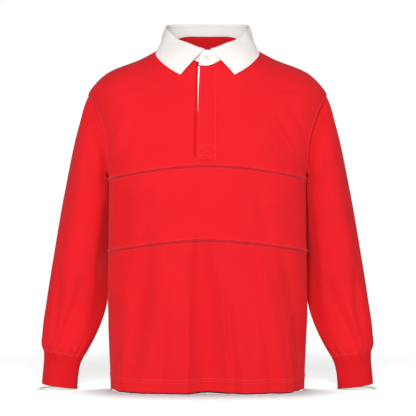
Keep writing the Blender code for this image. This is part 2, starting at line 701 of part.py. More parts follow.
def make_leaf(white):
    """The leaf: a roll over the stand's top edge, then a fall to its outer edge on the shirt."""
    first = STAND_CROSSING_X.index(LEAF_START_X)
    fold_turn = stand_turns()[first:-first]
    fold_half = fold_turn[: len(fold_turn) // 2 + 1]
    tip = math.radians(LEAF_EDGE[0].angle)
    share = (fold_half - fold_half[0]) / (math.pi - fold_half[0])
    edge_half = tip + (math.pi - tip) * share
    level_half = smooth(
        [math.radians(e.angle) for e in LEAF_EDGE], [e.level for e in LEAF_EDGE], edge_half
    )
    edge_turn = np.concatenate([edge_half, 2 * math.pi - edge_half[-2::-1]])
    edge_level = np.concatenate([level_half, level_half[-2::-1]])
    fold = fold_ring(fold_turn)
    outward = level_outward(fold)
    up = np.array([0.0, 0.0, 1.0])
    tall = roll_height(fold_turn)[:, None]

    rest, rest_normal = torso_surface(edge_level, edge_turn)
    edge = rest + rest_normal * (LEAF_REST + COLLAR_WALL / 2)

    roll = [fold - up * (tall - LAYER_GAP)]
    for place in ROLL:
        roll.append(fold + outward * ROLL_DEPTH * place.out - up * tall * place.down)
    shoulder = roll[-1]
    middle = (shoulder + edge) / 2 + (outward + rest_normal) * LEAF_BULGE
    fall = []
    for t in np.linspace(0, 1, LEAF_DROP_ROWS + 1)[1:]:
        fall.append(shoulder * (1 - t) ** 2 + middle * 2 * t * (1 - t) + edge * t**2)
    points = np.stack(roll + fall)

    down = np.gradient(points, axis=0)
    around = np.gradient(points, axis=1)
    normal = np.cross(around, down)
    normal /= np.linalg.norm(normal, axis=2, keepdims=True)
    normal *= np.sign((normal[-1] * rest_normal).sum(axis=1).mean())
    half = normal * COLLAR_WALL / 2
    cloth_wall("collar_leaf", points + half, points - half, white)


def make_button(white):
    """A flat four-hole button on the stand's overlapping end."""
    foot, head, outward = stand_rows()
    column = STAND_CROSSING_X.index(BUTTON_X)
    middle = foot[column] * (1 - BUTTON_HEIGHT_SHARE) + head[column] * BUTTON_HEIGHT_SHARE
    rise = head[column] - foot[column]
    across = np.cross(rise, outward[column])
    facing = Vector(np.cross(across, rise)).normalized()
    lift = COLLAR_WALL / 2 + BUTTON_CLEARANCE + BUTTON_THICKNESS / 2
    turned = facing.to_track_quat("Z", "Y").to_matrix().to_4x4()
    place = Matrix.Translation(Vector(middle) + facing * lift) @ turned

    bpy.ops.mesh.primitive_cylinder_add(vertices=24, radius=BUTTON_RADIUS, depth=BUTTON_THICKNESS)
    button = bpy.context.object
    button.name = button.data.name = "button"
    bevel = button.modifiers.new("soft_rim", "BEVEL")
    bevel.width, bevel.segments = BUTTON_RIM, 2
    for i in range(4):
        turn = math.radians(45 + 90 * i)
        hole_x, hole_y = BUTTON_HOLE_PITCH * math.cos(turn), BUTTON_HOLE_PITCH * math.sin(turn)
        bpy.ops.mesh.primitive_cylinder_add(
            vertices=8,
            radius=BUTTON_HOLE_RADIUS,
            depth=HOLE_CUTTER_LENGTH,
            location=(hole_x, hole_y, 0),
        )
        cutter = bpy.context.object
        cutter.name = f"button_hole_cutter_{i + 1}"
        cutter.matrix_world = place @ cutter.matrix_world
        cutter.hide_render = True
        cutter.display_type = "WIRE"
        move_to(cutter, "cutters")
        cut = button.modifiers.new(f"hole_{i + 1}", "BOOLEAN")
        cut.operation, cut.object = "DIFFERENCE", cutter
    button.matrix_world = place
    button.data.materials.append(white)
    move_to(button, "shirt")


def move_to(thing, collection):
    for holder in list(thing.users_collection):
        holder.objects.unlink(thing)
    bpy.data.collections[collection].objects.link(thing)


def main():
    for thing in list(bpy.data.objects):
        bpy.data.objects.remove(thing)
    for name in ("shirt", "cutters"):
        bpy.context.scene.collection.children.link(bpy.data.collections.new(name))
    red = cloth_material("red_jersey", RED)
    cuff_red = cloth_material("red_rib", CUFF_RED)
    white = cloth_material("white_twill", WHITE)
    button_white = cloth_material("button_white", WHITE)
    make_body(red)
    make_sleeves(red)
    make_cuffs(cuff_red)
    make_placket(red, white)
    make_stand(white)
    make_leaf(white)
    make_button(button_white)


main()
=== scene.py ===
"""Looks of the long-sleeved polo shirt: fine cloth, sewing, materials, light and camera round the frame.

Metres, +Z up, front towards -Y, the wearer's left at +X. The forms repeat the named sizes of the
CAD source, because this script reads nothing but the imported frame.
"""

import math
from collections import namedtuple

import bpy
import numpy as np
from mathutils import Matrix, Vector


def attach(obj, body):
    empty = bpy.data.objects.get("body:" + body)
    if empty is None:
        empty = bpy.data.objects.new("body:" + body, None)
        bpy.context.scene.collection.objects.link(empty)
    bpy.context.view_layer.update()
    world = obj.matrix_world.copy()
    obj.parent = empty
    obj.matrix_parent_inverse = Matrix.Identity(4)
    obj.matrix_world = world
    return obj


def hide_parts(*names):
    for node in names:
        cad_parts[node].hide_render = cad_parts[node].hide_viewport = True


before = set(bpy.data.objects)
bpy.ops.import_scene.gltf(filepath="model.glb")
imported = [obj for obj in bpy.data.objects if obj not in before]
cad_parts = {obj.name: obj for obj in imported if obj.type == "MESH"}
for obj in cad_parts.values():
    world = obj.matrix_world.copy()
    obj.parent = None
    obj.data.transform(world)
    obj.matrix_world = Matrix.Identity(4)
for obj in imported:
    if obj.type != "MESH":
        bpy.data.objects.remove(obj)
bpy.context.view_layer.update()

# Cloth walls and clearances, as in the solids
BODY_WALL = 0.0016
HEM_WALL = 0.0030
COLLAR_WALL = 0.0020
CUFF_WALL = 0.0026
FACING_WALL = 0.0010
SEAM_GAP = 0.0004
ROUNDING = 1e-6
LAYER_GAP = 0.0005

# Torso rings from hem to neck
Section = namedtuple(
    "Section",
    "name level front_z side_z back_z half_width centre_y front_depth back_depth squareness",
)
SECTIONS = (
    Section("hem", 0.000, -0.771, -0.771, -0.771, 0.2185, -0.010, 0.108, 0.110, 2.8),
    Section("hip", 0.160, -0.608, -0.614, -0.612, 0.2245, -0.010, 0.111, 0.115, 2.8),
    Section("waist", 0.320, -0.439, -0.465, -0.460, 0.2225, -0.010, 0.114, 0.120, 2.8),
    Section("chest", 0.480, -0.277, -0.305, -0.300, 0.2215, -0.008, 0.117, 0.124, 2.8),
    Section("arm_low", 0.540, -0.233, -0.247, -0.243, 0.2400, -0.003, 0.119, 0.122, 2.7),
    Section("arm_mid", 0.590, -0.198, -0.196, -0.198, 0.2530, 0.000, 0.118, 0.118, 2.6),
    Section("arm_high", 0.630, -0.171, -0.153, -0.158, 0.2620, 0.003, 0.115, 0.112, 2.5),
    Section("tip", 0.665, -0.148, -0.114, -0.122, 0.2690, 0.005, 0.113, 0.107, 2.4),
    Section("cap", 0.695, -0.132, -0.089, -0.098, 0.2540, 0.005, 0.110, 0.103, 2.4),
    Section("slope", 0.730, -0.117, -0.063, -0.072, 0.2250, 0.004, 0.105, 0.099, 2.3),
    Section("shoulder", 0.805, -0.092, -0.032, -0.028, 0.1500, 0.002, 0.097, 0.090, 2.2),
    Section("neck", 0.885, -0.053, 0.005, 0.027, 0.0830, 0.000, 0.085, 0.067, 2.1),
)
FRONT_ARCH = 1.7
BACK_ARCH = 5.0
UNDERARM_LEVEL = 0.492
LEVELS = {s.name: s.level for s in SECTIONS} | {"underarm": UNDERARM_LEVEL}
ARMHOLE_FRONT = 27.0
ARMHOLE_BACK = 30.0
ARMHOLE_FULLNESS = 0.48
SIDE = math.pi / 2
BEND_WEIGHT = 0.06
ANGLE_STEP = 0.012
LEVEL_STEP = 0.002
FINE_STEPS = 300
HEM_DEPTH = 0.028
HEM_STEP = 0.002

# How finely the cloth is divided
PANEL_COLUMNS = 96
SLIT_COLUMNS = 6
BACK_COLUMNS = 56
ARMHOLE_ROWS = 64
SHOULDER_ROWS = 56
LOWER_ROWS = 84
MIDDLE_ROWS = 42
SLEEVE_STEP = 0.0032
CUFF_ROWS = 26
HEM_ROWS = 9
BY_CHEST_SEAM = (0.0035, 0.007)
FACING_SAMPLES = 500
EDGE_SHARE = 0.42

# Folds of the body, placed on the face by the start, middle and end of each line. Depth is
# positive for a ridge. side -1 is a step that drops at the wearer's right of its line and comes
# back slowly at the left, 1 is its mirror image, and 0 is even. A fold marked run_off goes on past
# its end and widens towards it.
Fold = namedtuple("Fold", "name face x0 z0 x1 z1 x2 z2 half_width depth side run_off")
FRONT, BACK = -1, 1
FOLDS = (
    Fold("centre_step", FRONT, -0.018, -0.430, -0.009, -0.590, 0.003, -0.800, 0.0300, -0.0310, -1.0, 1),
    Fold("centre_line", FRONT, -0.018, -0.320, -0.021, -0.400, -0.022, -0.520, 0.0060, -0.0020, 0.0, 0),
    Fold("inner_step", FRONT, 0.040, -0.540, 0.050, -0.650, 0.062, -0.800, 0.0095, -0.0100, -1.0, 1),
    Fold("inner_ridge", FRONT, 0.066, -0.540, 0.074, -0.660, 0.084, -0.800, 0.0180, 0.0030, 0.0, 1),
    Fold("right_drape", FRONT, -0.126, -0.420, -0.149, -0.570, -0.172, -0.760, 0.0200, -0.0150, -0.8, 0),
    Fold("right_edge", FRONT, -0.196, -0.560, -0.208, -0.660, -0.200, -0.790, 0.0220, -0.0100, 0.0, 0),
    Fold("right_low", FRONT, -0.088, -0.540, -0.098, -0.660, -0.106, -0.800, 0.0110, -0.0042, -0.6, 1),
    Fold("right_streak", FRONT, -0.168, -0.590, -0.186, -0.690, -0.206, -0.800, 0.0070, 0.0036, 0.0, 1),
    Fold("left_drape", FRONT, 0.156, -0.440, 0.186, -0.560, 0.213, -0.700, 0.0150, -0.0070, -0.2, 0),
    Fold("left_crest", FRONT, 0.112, -0.470, 0.142, -0.600, 0.172, -0.800, 0.0200, 0.0060, 0.0, 1),
    Fold("left_edge", FRONT, 0.198, -0.600, 0.208, -0.680, 0.202, -0.790, 0.0180, -0.0090, 0.0, 0),
    Fold("left_low", FRONT, 0.112, -0.580, 0.132, -0.680, 0.146, -0.800, 0.0110, -0.0050, -0.6, 1),
    Fold("left_streak", FRONT, 0.172, -0.640, 0.182, -0.700, 0.190, -0.800, 0.0070, 0.0036, 0.0, 1),
    Fold("left_chest_pull", FRONT, 0.146, -0.146, 0.172, -0.200, 0.212, -0.268, 0.0075, -0.0024, 0.3, 0),
    Fold("left_chest_crest", FRONT, 0.164, -0.140, 0.190, -0.192, 0.216, -0.240, 0.0080, 0.0012, 0.0, 0),
    Fold("left_chest_second", FRONT, 0.146, -0.188, 0.170, -0.226, 0.210, -0.284, 0.0065, -0.0020, 0.3, 0),
    Fold("left_chest_third", FRONT, 0.178, -0.132, 0.200, -0.176, 0.218, -0.222, 0.0060, -0.0012, 0.3, 0),
    Fold("left_chest_fourth", FRONT, 0.128, -0.214, 0.156, -0.252, 0.200, -0.302, 0.0070, -0.0016, 0.3, 0),
    Fold("left_chest_fifth", FRONT, 0.156, -0.236, 0.180, -0.262, 0.214, -0.300, 0.0060, -0.0018, 0.0, 0),
    Fold("right_chest_pull", FRONT, -0.150, -0.160, -0.176, -0.215, -0.206, -0.290, 0.012, -0.0026, -0.4, 0),
    Fold("right_chest_crest", FRONT, -0.176, -0.150, -0.196, -0.210, -0.214, -0.270, 0.014, 0.0024, 0.0, 0),
    Fold("right_chest_low", FRONT, -0.118, -0.230, -0.146, -0.262, -0.180, -0.312, 0.012, -0.0018, -0.3, 0),
    Fold("left_tip_drag", FRONT, 0.140, -0.104, 0.175, -0.106, 0.216, -0.110, 0.010, -0.0022, 0.0, 0),
    Fold("right_tip_drag", FRONT, -0.138, -0.104, -0.176, -0.104, -0.214, -0.112, 0.010, -0.0024, 0.0, 0),
    Fold("right_waist_line", FRONT, -0.122, -0.325, -0.134, -0.380, -0.144, -0.450, 0.012, -0.0026, 0.3, 0),
    Fold("left_waist_line", FRONT, 0.106, -0.320, 0.122, -0.380, 0.142, -0.450, 0.011, -0.0034, -0.4, 0),
    Fold("left_waist_crest", FRONT, 0.130, -0.330, 0.150, -0.390, 0.166, -0.450, 0.014, 0.0022, 0.0, 0),
    Fold("right_side_wave", FRONT, -0.186, -0.320, -0.190, -0.380, -0.186, -0.460, 0.018, -0.0030, 0.0, 0),
    Fold("left_side_wave", FRONT, 0.188, -0.325, 0.192, -0.385, 0.188, -0.450, 0.016, -0.0028, 0.0, 0),
    Fold("back_left", BACK, 0.064, -0.280, 0.078, -0.500, 0.096, -0.800, 0.024, -0.0080, 0.3, 1),
    Fold("back_right", BACK, -0.076, -0.240, -0.080, -0.480, -0.090, -0.800, 0.023, -0.0075, -0.3, 1),
    Fold("back_middle", BACK, -0.014, -0.360, -0.002, -0.560, 0.010, -0.800, 0.026, 0.0070, 0.0, 1),
    Fold("back_outer_left", BACK, 0.130, -0.400, 0.144, -0.560, 0.162, -0.800, 0.022, -0.0060, 0.3, 1),
    Fold("back_outer_right", BACK, -0.136, -0.330, -0.150, -0.540, -0.166, -0.800, 0.022, -0.0060, -0.3, 1),
    Fold("back_yoke_left", BACK, 0.060, -0.075, 0.130, -0.110, 0.210, -0.180, 0.016, -0.0034, 0.3, 0),
    Fold("back_yoke_right", BACK, -0.056, -0.070, -0.126, -0.100, -0.208, -0.168, 0.017, -0.0036, -0.3, 0),
    Fold("back_blade_left", BACK, 0.098, -0.160, 0.150, -0.215, 0.196, -0.300, 0.013, -0.0036, 0.4, 0),
    Fold("back_blade_right", BACK, -0.104, -0.150, -0.150, -0.200, -0.200, -0.292, 0.013, -0.0034, -0.4, 0),
    Fold("back_blade_crest", BACK, 0.120, -0.150, 0.172, -0.200, 0.206, -0.262, 0.012, 0.0026, 0.0, 0),
    Fold("back_low_left", BACK, 0.036, -0.520, 0.040, -0.640, 0.050, -0.800, 0.010, -0.0030, 0.4, 1),
    Fold("back_low_right", BACK, -0.046, -0.470, -0.050, -0.620, -0.044, -0.800, 0.012, -0.0034, 0.0, 1),
)
FOLD_REACH = 3.2
FOLD_START_SPREAD = 0.4
FOLD_MIDDLE_SPREAD = 0.3
FOLD_FACE_DEPTH = 0.04
FOLD_STATIONS = 36
FOLD_END_POWER = 0.7
STEP_DROP = 1.6
STEP_BACK = 2.4
STEP_ROUNDING = 0.15
NECK_CALM_Z = -0.095
NECK_CALM_RANGE = 0.02

# Sleeve for the wearer's left arm: oval rings down the arm. lean tips a ring outwards, in degrees.
Ring = namedtuple("Ring", "name along x y z half_width half_depth lean")
SLEEVE = (
    Ring("cap", 0.070, 0.2558, 0.007, -0.2485, 0.0726, 0.0740, 61.0),
    Ring("bicep", 0.190, 0.2650, 0.018, -0.3350, 0.0585, 0.0700, 8.0),
    Ring("elbow", 0.325, 0.2835, 0.016, -0.4700, 0.0635, 0.0580, 9.0),
    Ring("forearm", 0.445, 0.2985, 0.010, -0.5900, 0.0672, 0.0420, 11.0),
    Ring("wrist", 0.520, 0.3165, -0.001, -0.6600, 0.0575, 0.0350, 11.5),
    Ring("gather", 0.550, 0.3240, -0.005, -0.6885, 0.0500, 0.0330, 10.0),
    Ring("cuff_seam", 0.560, 0.3247, -0.006, -0.6985, 0.0448, 0.0295, 9.5),
)
SLEEVE_SQUARENESS = 2.2
SHOULDER_FOLLOW = 1.3
BODY_CLEARANCE = 0.001
SLEEVE_APART_Z = -0.300

# Just below the armpit the sleeve comes in by this much, over a spread round the arm in degrees
# and a range down it, until it touches the body and no light shows between them.
UNDERARM_TOUCH = 0.010
UNDERARM_DEGREES = 180
UNDERARM_SPREAD = 34
UNDERARM_DOWN = 0.045
UNDERARM_RANGE = 0.035

# Creases of a sleeve: angles run round the arm from its outer side over the front, in degrees
Crease = namedtuple("Crease", "name angle foot_angle top foot half_angle depth")
CREASES = (
    Crease("inner_fold", 128.0, 134.0, 0.100, 0.470, 9.0, -0.0024),
    Crease("front_crest", 66.0, 60.0, 0.080, 0.500, 22.0, 0.0040),
    Crease("wrist_fold", 104.0, 84.0, 0.370, 0.556, 9.0, -0.0085),
    Crease("wrist_crest", 80.0, 66.0, 0.400, 0.556, 9.0, 0.0045),
    Crease("forearm_fold", 52.0, 64.0, 0.360, 0.530, 8.0, -0.0060),
    Crease("elbow_fold", 262.0, 280.0, 0.220, 0.480, 18.0, -0.0070),
    Crease("outer_line", 44.0, 36.0, 0.180, 0.420, 9.0, -0.0022),
    Crease("upper_line", 84.0, 96.0, 0.060, 0.260, 9.0, -0.0024),
    Crease("back_cap", 300.0, 316.0, 0.050, 0.300, 14.0, -0.0036),
    Crease("back_wrist", 296.0, 306.0, 0.380, 0.556, 13.0, -0.0050),
    Crease("under_fold", 205.0, 214.0, 0.200, 0.540, 14.0, -0.0050),
    Crease("elbow_bend", 232.0, 320.0, 0.300, 0.360, 16.0, -0.0040),
    Crease("elbow_bend_low", 226.0, 330.0, 0.370, 0.420, 15.0, -0.0034),
)
CREASE_END_POWER = 0.8
SLEEVE_DIFFERENCE = 7.0
UNDER_EDGE = 0.0015
UNDER_EDGE_DEPTH = 0.0021

# Stretches round the arm, in the creases' degrees: each grows over rise from its start and fades
# over fall to its end. The cloth sinks beside the armhole seam there by share of VALLEY_DEPTH, and
# further down a tuck moves it back by share of TUCK_DEPTH, or forward where that is negative.
Arc = namedtuple("Arc", "start rise end fall share")
VALLEY_START = 0.004
VALLEY_LENGTH = 0.026
VALLEY_DEPTH = 0.0115
VALLEYS = (
    Arc(18, 30, 158, 24, 1.0),
    Arc(216, 24, 345, 30, 0.8),
)
TUCK_TOP = 0.08
TUCK_FOOT = 0.50
TUCK_GROWS = 0.18
TUCK_DEPTH = 0.036
TUCKS = (
    Arc(118, 34, 216, 40, 1.0),
    Arc(196, 20, 270, 30, -0.5),
)

# Gathers above the cuff seam, placed by angle like the creases
GATHER_FULLNESS = 1.35
GATHER_START = 0.004
CUFF_STITCH_ROW = -3
Gather = namedtuple("Gather", "angle half_angle length depth")
GATHERS = (
    Gather(16.0, 6.0, 0.022, -0.0018),
    Gather(38.0, 5.0, 0.034, -0.0024),
    Gather(61.0, 5.5, 0.020, -0.0020),
    Gather(84.0, 6.0, 0.042, -0.0028),
    Gather(106.0, 5.0, 0.026, -0.0022),
    Gather(131.0, 6.5, 0.036, -0.0024),
    Gather(160.0, 6.0, 0.024, -0.0020),
    Gather(186.0, 6.0, 0.030, -0.0024),
    Gather(211.0, 5.0, 0.020, -0.0020),
    Gather(237.0, 6.0, 0.038, -0.0026),
    Gather(262.0, 5.5, 0.024, -0.0022),
    Gather(288.0, 6.0, 0.034, -0.0026),
    Gather(312.0, 5.0, 0.020, -0.0020),
    Gather(338.0, 6.5, 0.028, -0.0022),
)

# Cuff: rings down from the seam
CUFF = (
    Ring("top", 0.0000, 0.3248, -0.006, -0.6990, 0.0448, 0.0295, 9.5),
    Ring("waist", 0.0180, 0.3272, -0.007, -0.7165, 0.0412, 0.0275, 8.5),
    Ring("middle", 0.0420, 0.3300, -0.009, -0.7405, 0.0400, 0.0268, 8.0),
    Ring("mouth", 0.0700, 0.3330, -0.011, -0.7682, 0.0402, 0.0270, 8.0),
)
Wave = namedtuple("Wave", "height waves shift")
CUFF_WAVES = (Wave(0.0009, 3, 0.6), Wave(0.0006, 7, 2.0))

# Placket
SLIT_HALF_WIDTH = 0.019
STRIP_RIGHT_X = 0.0205
Edge = namedtuple("Edge", "level strip_x facing_x")
PLACKET_EDGES = (
    Edge(0.885, -0.0165, -0.0205),
    Edge(0.800, -0.0185, -0.0216),
    Edge(0.660, -0.0208, -0.0214),
    Edge(0.600, -0.0222, -0.0195),
    Edge(UNDERARM_LEVEL, -0.0228, -0.0195),
)
FACING_FOOT_LEVEL = 0.620
FACING_INNER_X = -0.006
UNDERLAP_X = 0.0225
OVERLAP_DROP = 0.0120
STRIP_TOP_GAP = 0.0035
STRIP_ROWS = 110
STRIP_WALL = 0.0010

# Stitch lines of the placket, as shares across and up it: two long edges, and a crossed box at its foot
Run = namedtuple("Run", "from_across from_up to_across to_up")
NEAR, FAR, BOX_FOOT, CROSS_FOOT, CROSS_TOP, BOX_TOP = 0.08, 0.93, 0.028, 0.046, 0.115, 0.132
PLACKET_RUNS = (
    Run(FAR, 0.990, FAR, 0.005),
    Run(NEAR, 0.985, NEAR, BOX_TOP),
    Run(NEAR, BOX_TOP, FAR, BOX_TOP),
    Run(NEAR, CROSS_TOP, FAR, CROSS_TOP),
    Run(NEAR, CROSS_FOOT, FAR, CROSS_FOOT),
    Run(NEAR, BOX_FOOT, FAR, BOX_FOOT),
    Run(NEAR, BOX_FOOT, NEAR, BOX_TOP),
    Run(NEAR, CROSS_FOOT, FAR, CROSS_TOP),
    Run(NEAR, CROSS_TOP, FAR, CROSS_FOOT),
)
RUN_STATIONS = 40

# The placket comes down to the front along its sewn edge and its foot, and the front sinks along
# its free edge
SETTLE_X = 0.014
SETTLE_WIDTH = 0.016
SETTLE_DEPTH = 0.016
SETTLED_LIFT = 0.0002
SETTLED_WALL = 0.35
GROOVE_FROM_EDGE = 0.0022
GROOVE_DEPTH = 0.0055
GROOVE_HALF_WIDTH = 0.0036
GROOVE_GROWS = 0.02
STRIP_COLUMNS = 18

# Collar
FOLD_HALF_WIDTH = 0.0915
FOLD_CENTRE_Y = -0.001
FOLD_FRONT_DEPTH = 0.0800
FOLD_BACK_DEPTH = 0.0730
FOLD_FRONT_SQUARENESS = 1.8
FOLD_BACK_SQUARENESS = 3.4
FoldHeight = namedtuple("FoldHeight", "y z")
FOLD_HEIGHTS = (
    FoldHeight(-0.081, -0.0185),
    FoldHeight(-0.079, -0.0155),
    FoldHeight(-0.071, -0.0055),
    FoldHeight(-0.053, 0.0065),
    FoldHeight(-0.030, 0.0265),
    FoldHeight(0.000, 0.0400),
    FoldHeight(0.040, 0.0505),
    FoldHeight(0.074, 0.0560),
)
STAND_STEP = 0.0018
STAND_STEP_REACH = math.radians(60)
STAND_CORNER = 0.011
STAND_CORNER_START = 0.001
STAND_ROWS = 20
ROLL_HEIGHT = 0.0050
ROLL_HEIGHT_AT_ENDS = 0.0018
ROLL_DEPTH = 0.0046
RollPoint = namedtuple("RollPoint", "out down")
ROLL = (
    RollPoint(0.06, 0.30),
    RollPoint(0.40, 0.00),
    RollPoint(0.80, 0.24),
    RollPoint(1.00, 0.90),
)
ROLL_FULL_ANGLE = math.radians(50)
LEAF_START_X = 0.0095
STAND_CROSSING_X = (-0.0185, -0.0165, -0.0135, -0.0080, -0.0010, LEAF_START_X)
CAD_COLUMNS = 14
COLLAR_FINENESS = 7
LeafEdge = namedtuple("LeafEdge", "angle level")
LEAF_EDGE = (
    LeafEdge(22.0, 0.811),
    LeafEdge(45.0, 0.822),
    LeafEdge(62.0, 0.832),
    LeafEdge(90.0, 0.861),
    LeafEdge(130.0, 0.856),
    LeafEdge(180.0, 0.850),
)
LEAF_REST = 0.0022
LEAF_BULGE = 0.0030
LEAF_STITCH = 0.0055
LEAF_GROOVE = 0.0007
LEAF_GROOVE_HALF_WIDTH = 0.0012
LEAF_DROP_ROWS = 5
LEAF_ROW_FINENESS = 6
LEAF_STITCH_ROW = 3

# Button
BUTTON_RADIUS = 0.0062
BUTTON_THICKNESS = 0.0022
BUTTON_X = -0.001
BUTTON_HEIGHT_SHARE = 0.52
BUTTON_HOLE_RADIUS = 0.0008
BUTTON_HOLE_PITCH = 0.0013
BUTTON_CLEARANCE = 0.0008
BUTTON_SIDES = 48
ButtonPoint = namedtuple("ButtonPoint", "share below")
BUTTON_FACE = (
    ButtonPoint(0.45, 0.0007),
    ButtonPoint(0.62, 0.0006),
    ButtonPoint(0.70, 0.0002),
    ButtonPoint(0.78, 0.0),
    ButtonPoint(0.90, 0.00005),
    ButtonPoint(0.97, 0.0004),
    ButtonPoint(1.00, 0.0009),
)
BUTTON_UNDERSIDE = (
    ButtonPoint(0.97, 0.0004),
    ButtonPoint(0.90, 0.0),
)
BUTTON_THREAD_HALF_GAP = 0.0002
BUTTON_THREAD_SUNK = 0.00045

# Sewing
NEEDLE_GAP = 0.0060
THREAD = 0.00038
STITCH_PITCH = 0.0032
STITCH_SHARE = 0.78
STITCH_HEIGHTS = (-0.9, 0.35, 0.6, 0.35, -0.9)
STITCH_THICKNESSES = (0.55, 1.0, 1.0, 1.0, 0.55)
THREAD_SIDES = 5
SEAM_SEED = 1.3
ARMHOLE_SEED = 4.1
SEAM_BAND = 0.0052
SEAM_RISE = 0.0006
SEAM_PUCKER = 0.0010
HEM_PUCKER = 0.0005
ARMHOLE_PUCKER = 0.0008
PUCKER_REACH = 0.011
PUCKER_PITCH = 0.017
BAND_SHOULDER = 0.35
ARMHOLE_BAND = 0.0055
ARMHOLE_RISE = 0.0009
ARMHOLE_GROWS = 0.004
ARMHOLE_STITCH = 0.0050
SHOULDER_STITCH = 0.0040
NEEDLE_FROM_SEAM = 0.0046
BAND_ARCH = 0.0010
LOOPER_STEP = 0.0009
LOOPER_PITCH = 0.0041
LOOPER_SHARE = 0.97
STAND_STITCHES = 0.0030
STAND_FOOT_STITCHES = 0.0010
STAND_EDGE_STITCHES = 0.0022
STAND_EDGE_COLUMNS = 9

# Colours, linear
RED = (0.86, 0.0142, 0.0214)
RED_DEEP = (0.74, 0.0110, 0.0172)
CUFF_RED = (0.77, 0.0100, 0.0162)
# The red thread is partly its own colour and partly a painted highlight: lighter than the cloth, so that its
# stitch lines show as a bright edge along the armhole and the other seams
THREAD_RED_AND_HIGHLIGHT = (0.98, 0.080, 0.095)
BAND_RED = (0.72, 0.024, 0.038)
WHITE = (0.965, 0.920, 0.895)
WHITE_WARM = (0.92, 0.865, 0.825)
# The white thread is partly an off-white colour and partly painted shade: greyer than the white cloth, so
# that its stitch lines show darker as their shadows would
THREAD_WHITE_AND_SHADE = (0.80, 0.765, 0.73)
BUTTON_WHITE = (0.84, 0.82, 0.76)

# Camera, lights and floor. The floor has its own lamps, and the others light all else.
CAMERA_PLACE = (0.0, -3.0, -0.368)
CAMERA_LENS = 114.84
CAMERA_SHIFT = 0.0012
FLOOR_Z = -0.7746

# Each lamp aims at the shirt's middle line, at height aim_z
Lamp = namedtuple("Lamp", "name x y z aim_z width height power")
SHIRT_LAMPS = (
    Lamp("front_soft", -0.35, -3.3, 0.35, -0.36, 1.0, 1.0, 86),
    Lamp("key_left", -2.9, -2.0, -0.05, -0.42, 0.9, 1.3, 22),
    Lamp("key_right", 2.9, -2.0, -0.05, -0.42, 0.9, 1.3, 29),
    Lamp("back_soft", 0.9, 3.2, 0.3, -0.36, 1.2, 1.2, 96),
)
FLOOR_LAMPS = (
    Lamp("floor_soft", 0.0, 0.05, FLOOR_Z + 2.0, FLOOR_Z, 0.5, 0.45, 170),
    Lamp("floor_front", 0.0, -1.9, FLOOR_Z + 1.9, FLOOR_Z, 0.8, 0.8, 190),
)
WORLD_COLOUR = (0.97, 0.98, 1.0, 1.0)
WORLD_LIGHT = 0.20
WHITE_SEEN = (1.0, 1.0, 1.0, 1.0)
FLOOR_COLOUR = (0.20, 0.20, 0.20, 1.0)
FLOOR_GLOW = 0.02
FLOOR_RADIUS = 0.85
FLOOR_FADE = 0.45
FLOOR_SIDES = 360
UNDER_HEM = 0.008
# The pieces that shade the floor below the lamp above it
FLOOR_SHADOWS = ("front_lower_cloth", "front_middle_cloth", "cuff_left_cloth", "cuff_right_cloth")


def signed_power(value, exponent):
    """The power of a number's size, with the number's own sign."""
    return np.sign(value) * np.abs(value) ** exponent


def smooth(knots, values, at):
    """A monotone cubic through (knots, values), read at every number in at."""
    knots, values, at = (np.asarray(a, float) for a in (knots, values, at))
    steps = np.diff(knots)
    slopes = np.diff(values) / steps
    tangents = np.zeros_like(values)
    same_way = slopes[:-1] * slopes[1:] > 0
    before, after = 2 * steps[1:] + steps[:-1], steps[1:] + 2 * steps[:-1]
    safe_first = np.where(same_way, slopes[:-1], 1.0)
    safe_second = np.where(same_way, slopes[1:], 1.0)
    harmonic = (before + after) / (before / safe_first + after / safe_second)
    tangents[1:-1] = np.where(same_way, harmonic, 0.0)
    tangents[0], tangents[-1] = slopes[0], slopes[-1]
    return hermite(knots, values, tangents, at)


def hermite(knots, values, tangents, at):
    """A cubic through the values with the given tangents. Values may be points, one row a knot."""
    place = np.clip(np.searchsorted(knots, at, side="right") - 1, 0, len(knots) - 2)
    step = knots[place + 1] - knots[place]
    t = np.clip((at - knots[place]) / step, 0.0, 1.0)
    if values.ndim > 1:
        t, step = t[..., None], step[..., None]
    rise = 3 * t**2 - 2 * t**3
    return (
        values[place] * (1 - rise)
        + values[place + 1] * rise
        + tangents[place] * step * (t - 2 * t**2 + t**3)
        + tangents[place + 1] * step * (t**3 - t**2)
    )


def ease(value):
    """0 up to 0 and 1 from 1 on, with a soft start and end between."""
    value = np.clip(value, 0.0, 1.0)
    return value * value * (3 - 2 * value)


def section_at(level):
    """The torso's section values between the named ones."""
    knots = [s.level for s in SECTIONS]
    return {
        field: smooth(knots, [getattr(s, field) for s in SECTIONS], level)
        for field in Section._fields[2:]
    }


def ring_point(level, angle):
    """The plain form of the torso: angle 0 is the front centre, 90 degrees the wearer's left side."""
    level, angle = np.broadcast_arrays(np.asarray(level, float), np.asarray(angle, float))
    s = section_at(level)
    power = 2 / s["squareness"]
    sine, cosine = np.sin(angle), np.cos(angle)
    across = signed_power(sine, power)
    depth = np.where(cosine > 0, s["front_depth"], s["back_depth"])
    middle_z = np.where(cosine > 0, s["front_z"], s["back_z"])
    arch = np.where(cosine > 0, FRONT_ARCH, BACK_ARCH)
    x = s["half_width"] * across
    y = s["centre_y"] - depth * signed_power(cosine, power)
    z = middle_z + (s["side_z"] - middle_z) * np.abs(across) ** arch
    return np.stack([x, y, z], axis=-1)


def ring_normal(level, angle):
    round_step = ring_point(level, angle + ANGLE_STEP) - ring_point(level, angle - ANGLE_STEP)
    above = np.minimum(level + LEVEL_STEP, LEVELS["neck"])
    below = np.maximum(level - LEVEL_STEP, 0.0)
    up_step = ring_point(above, angle) - ring_point(below, angle)
    normal = np.cross(round_step, up_step)
    return normal / np.linalg.norm(normal, axis=-1, keepdims=True)


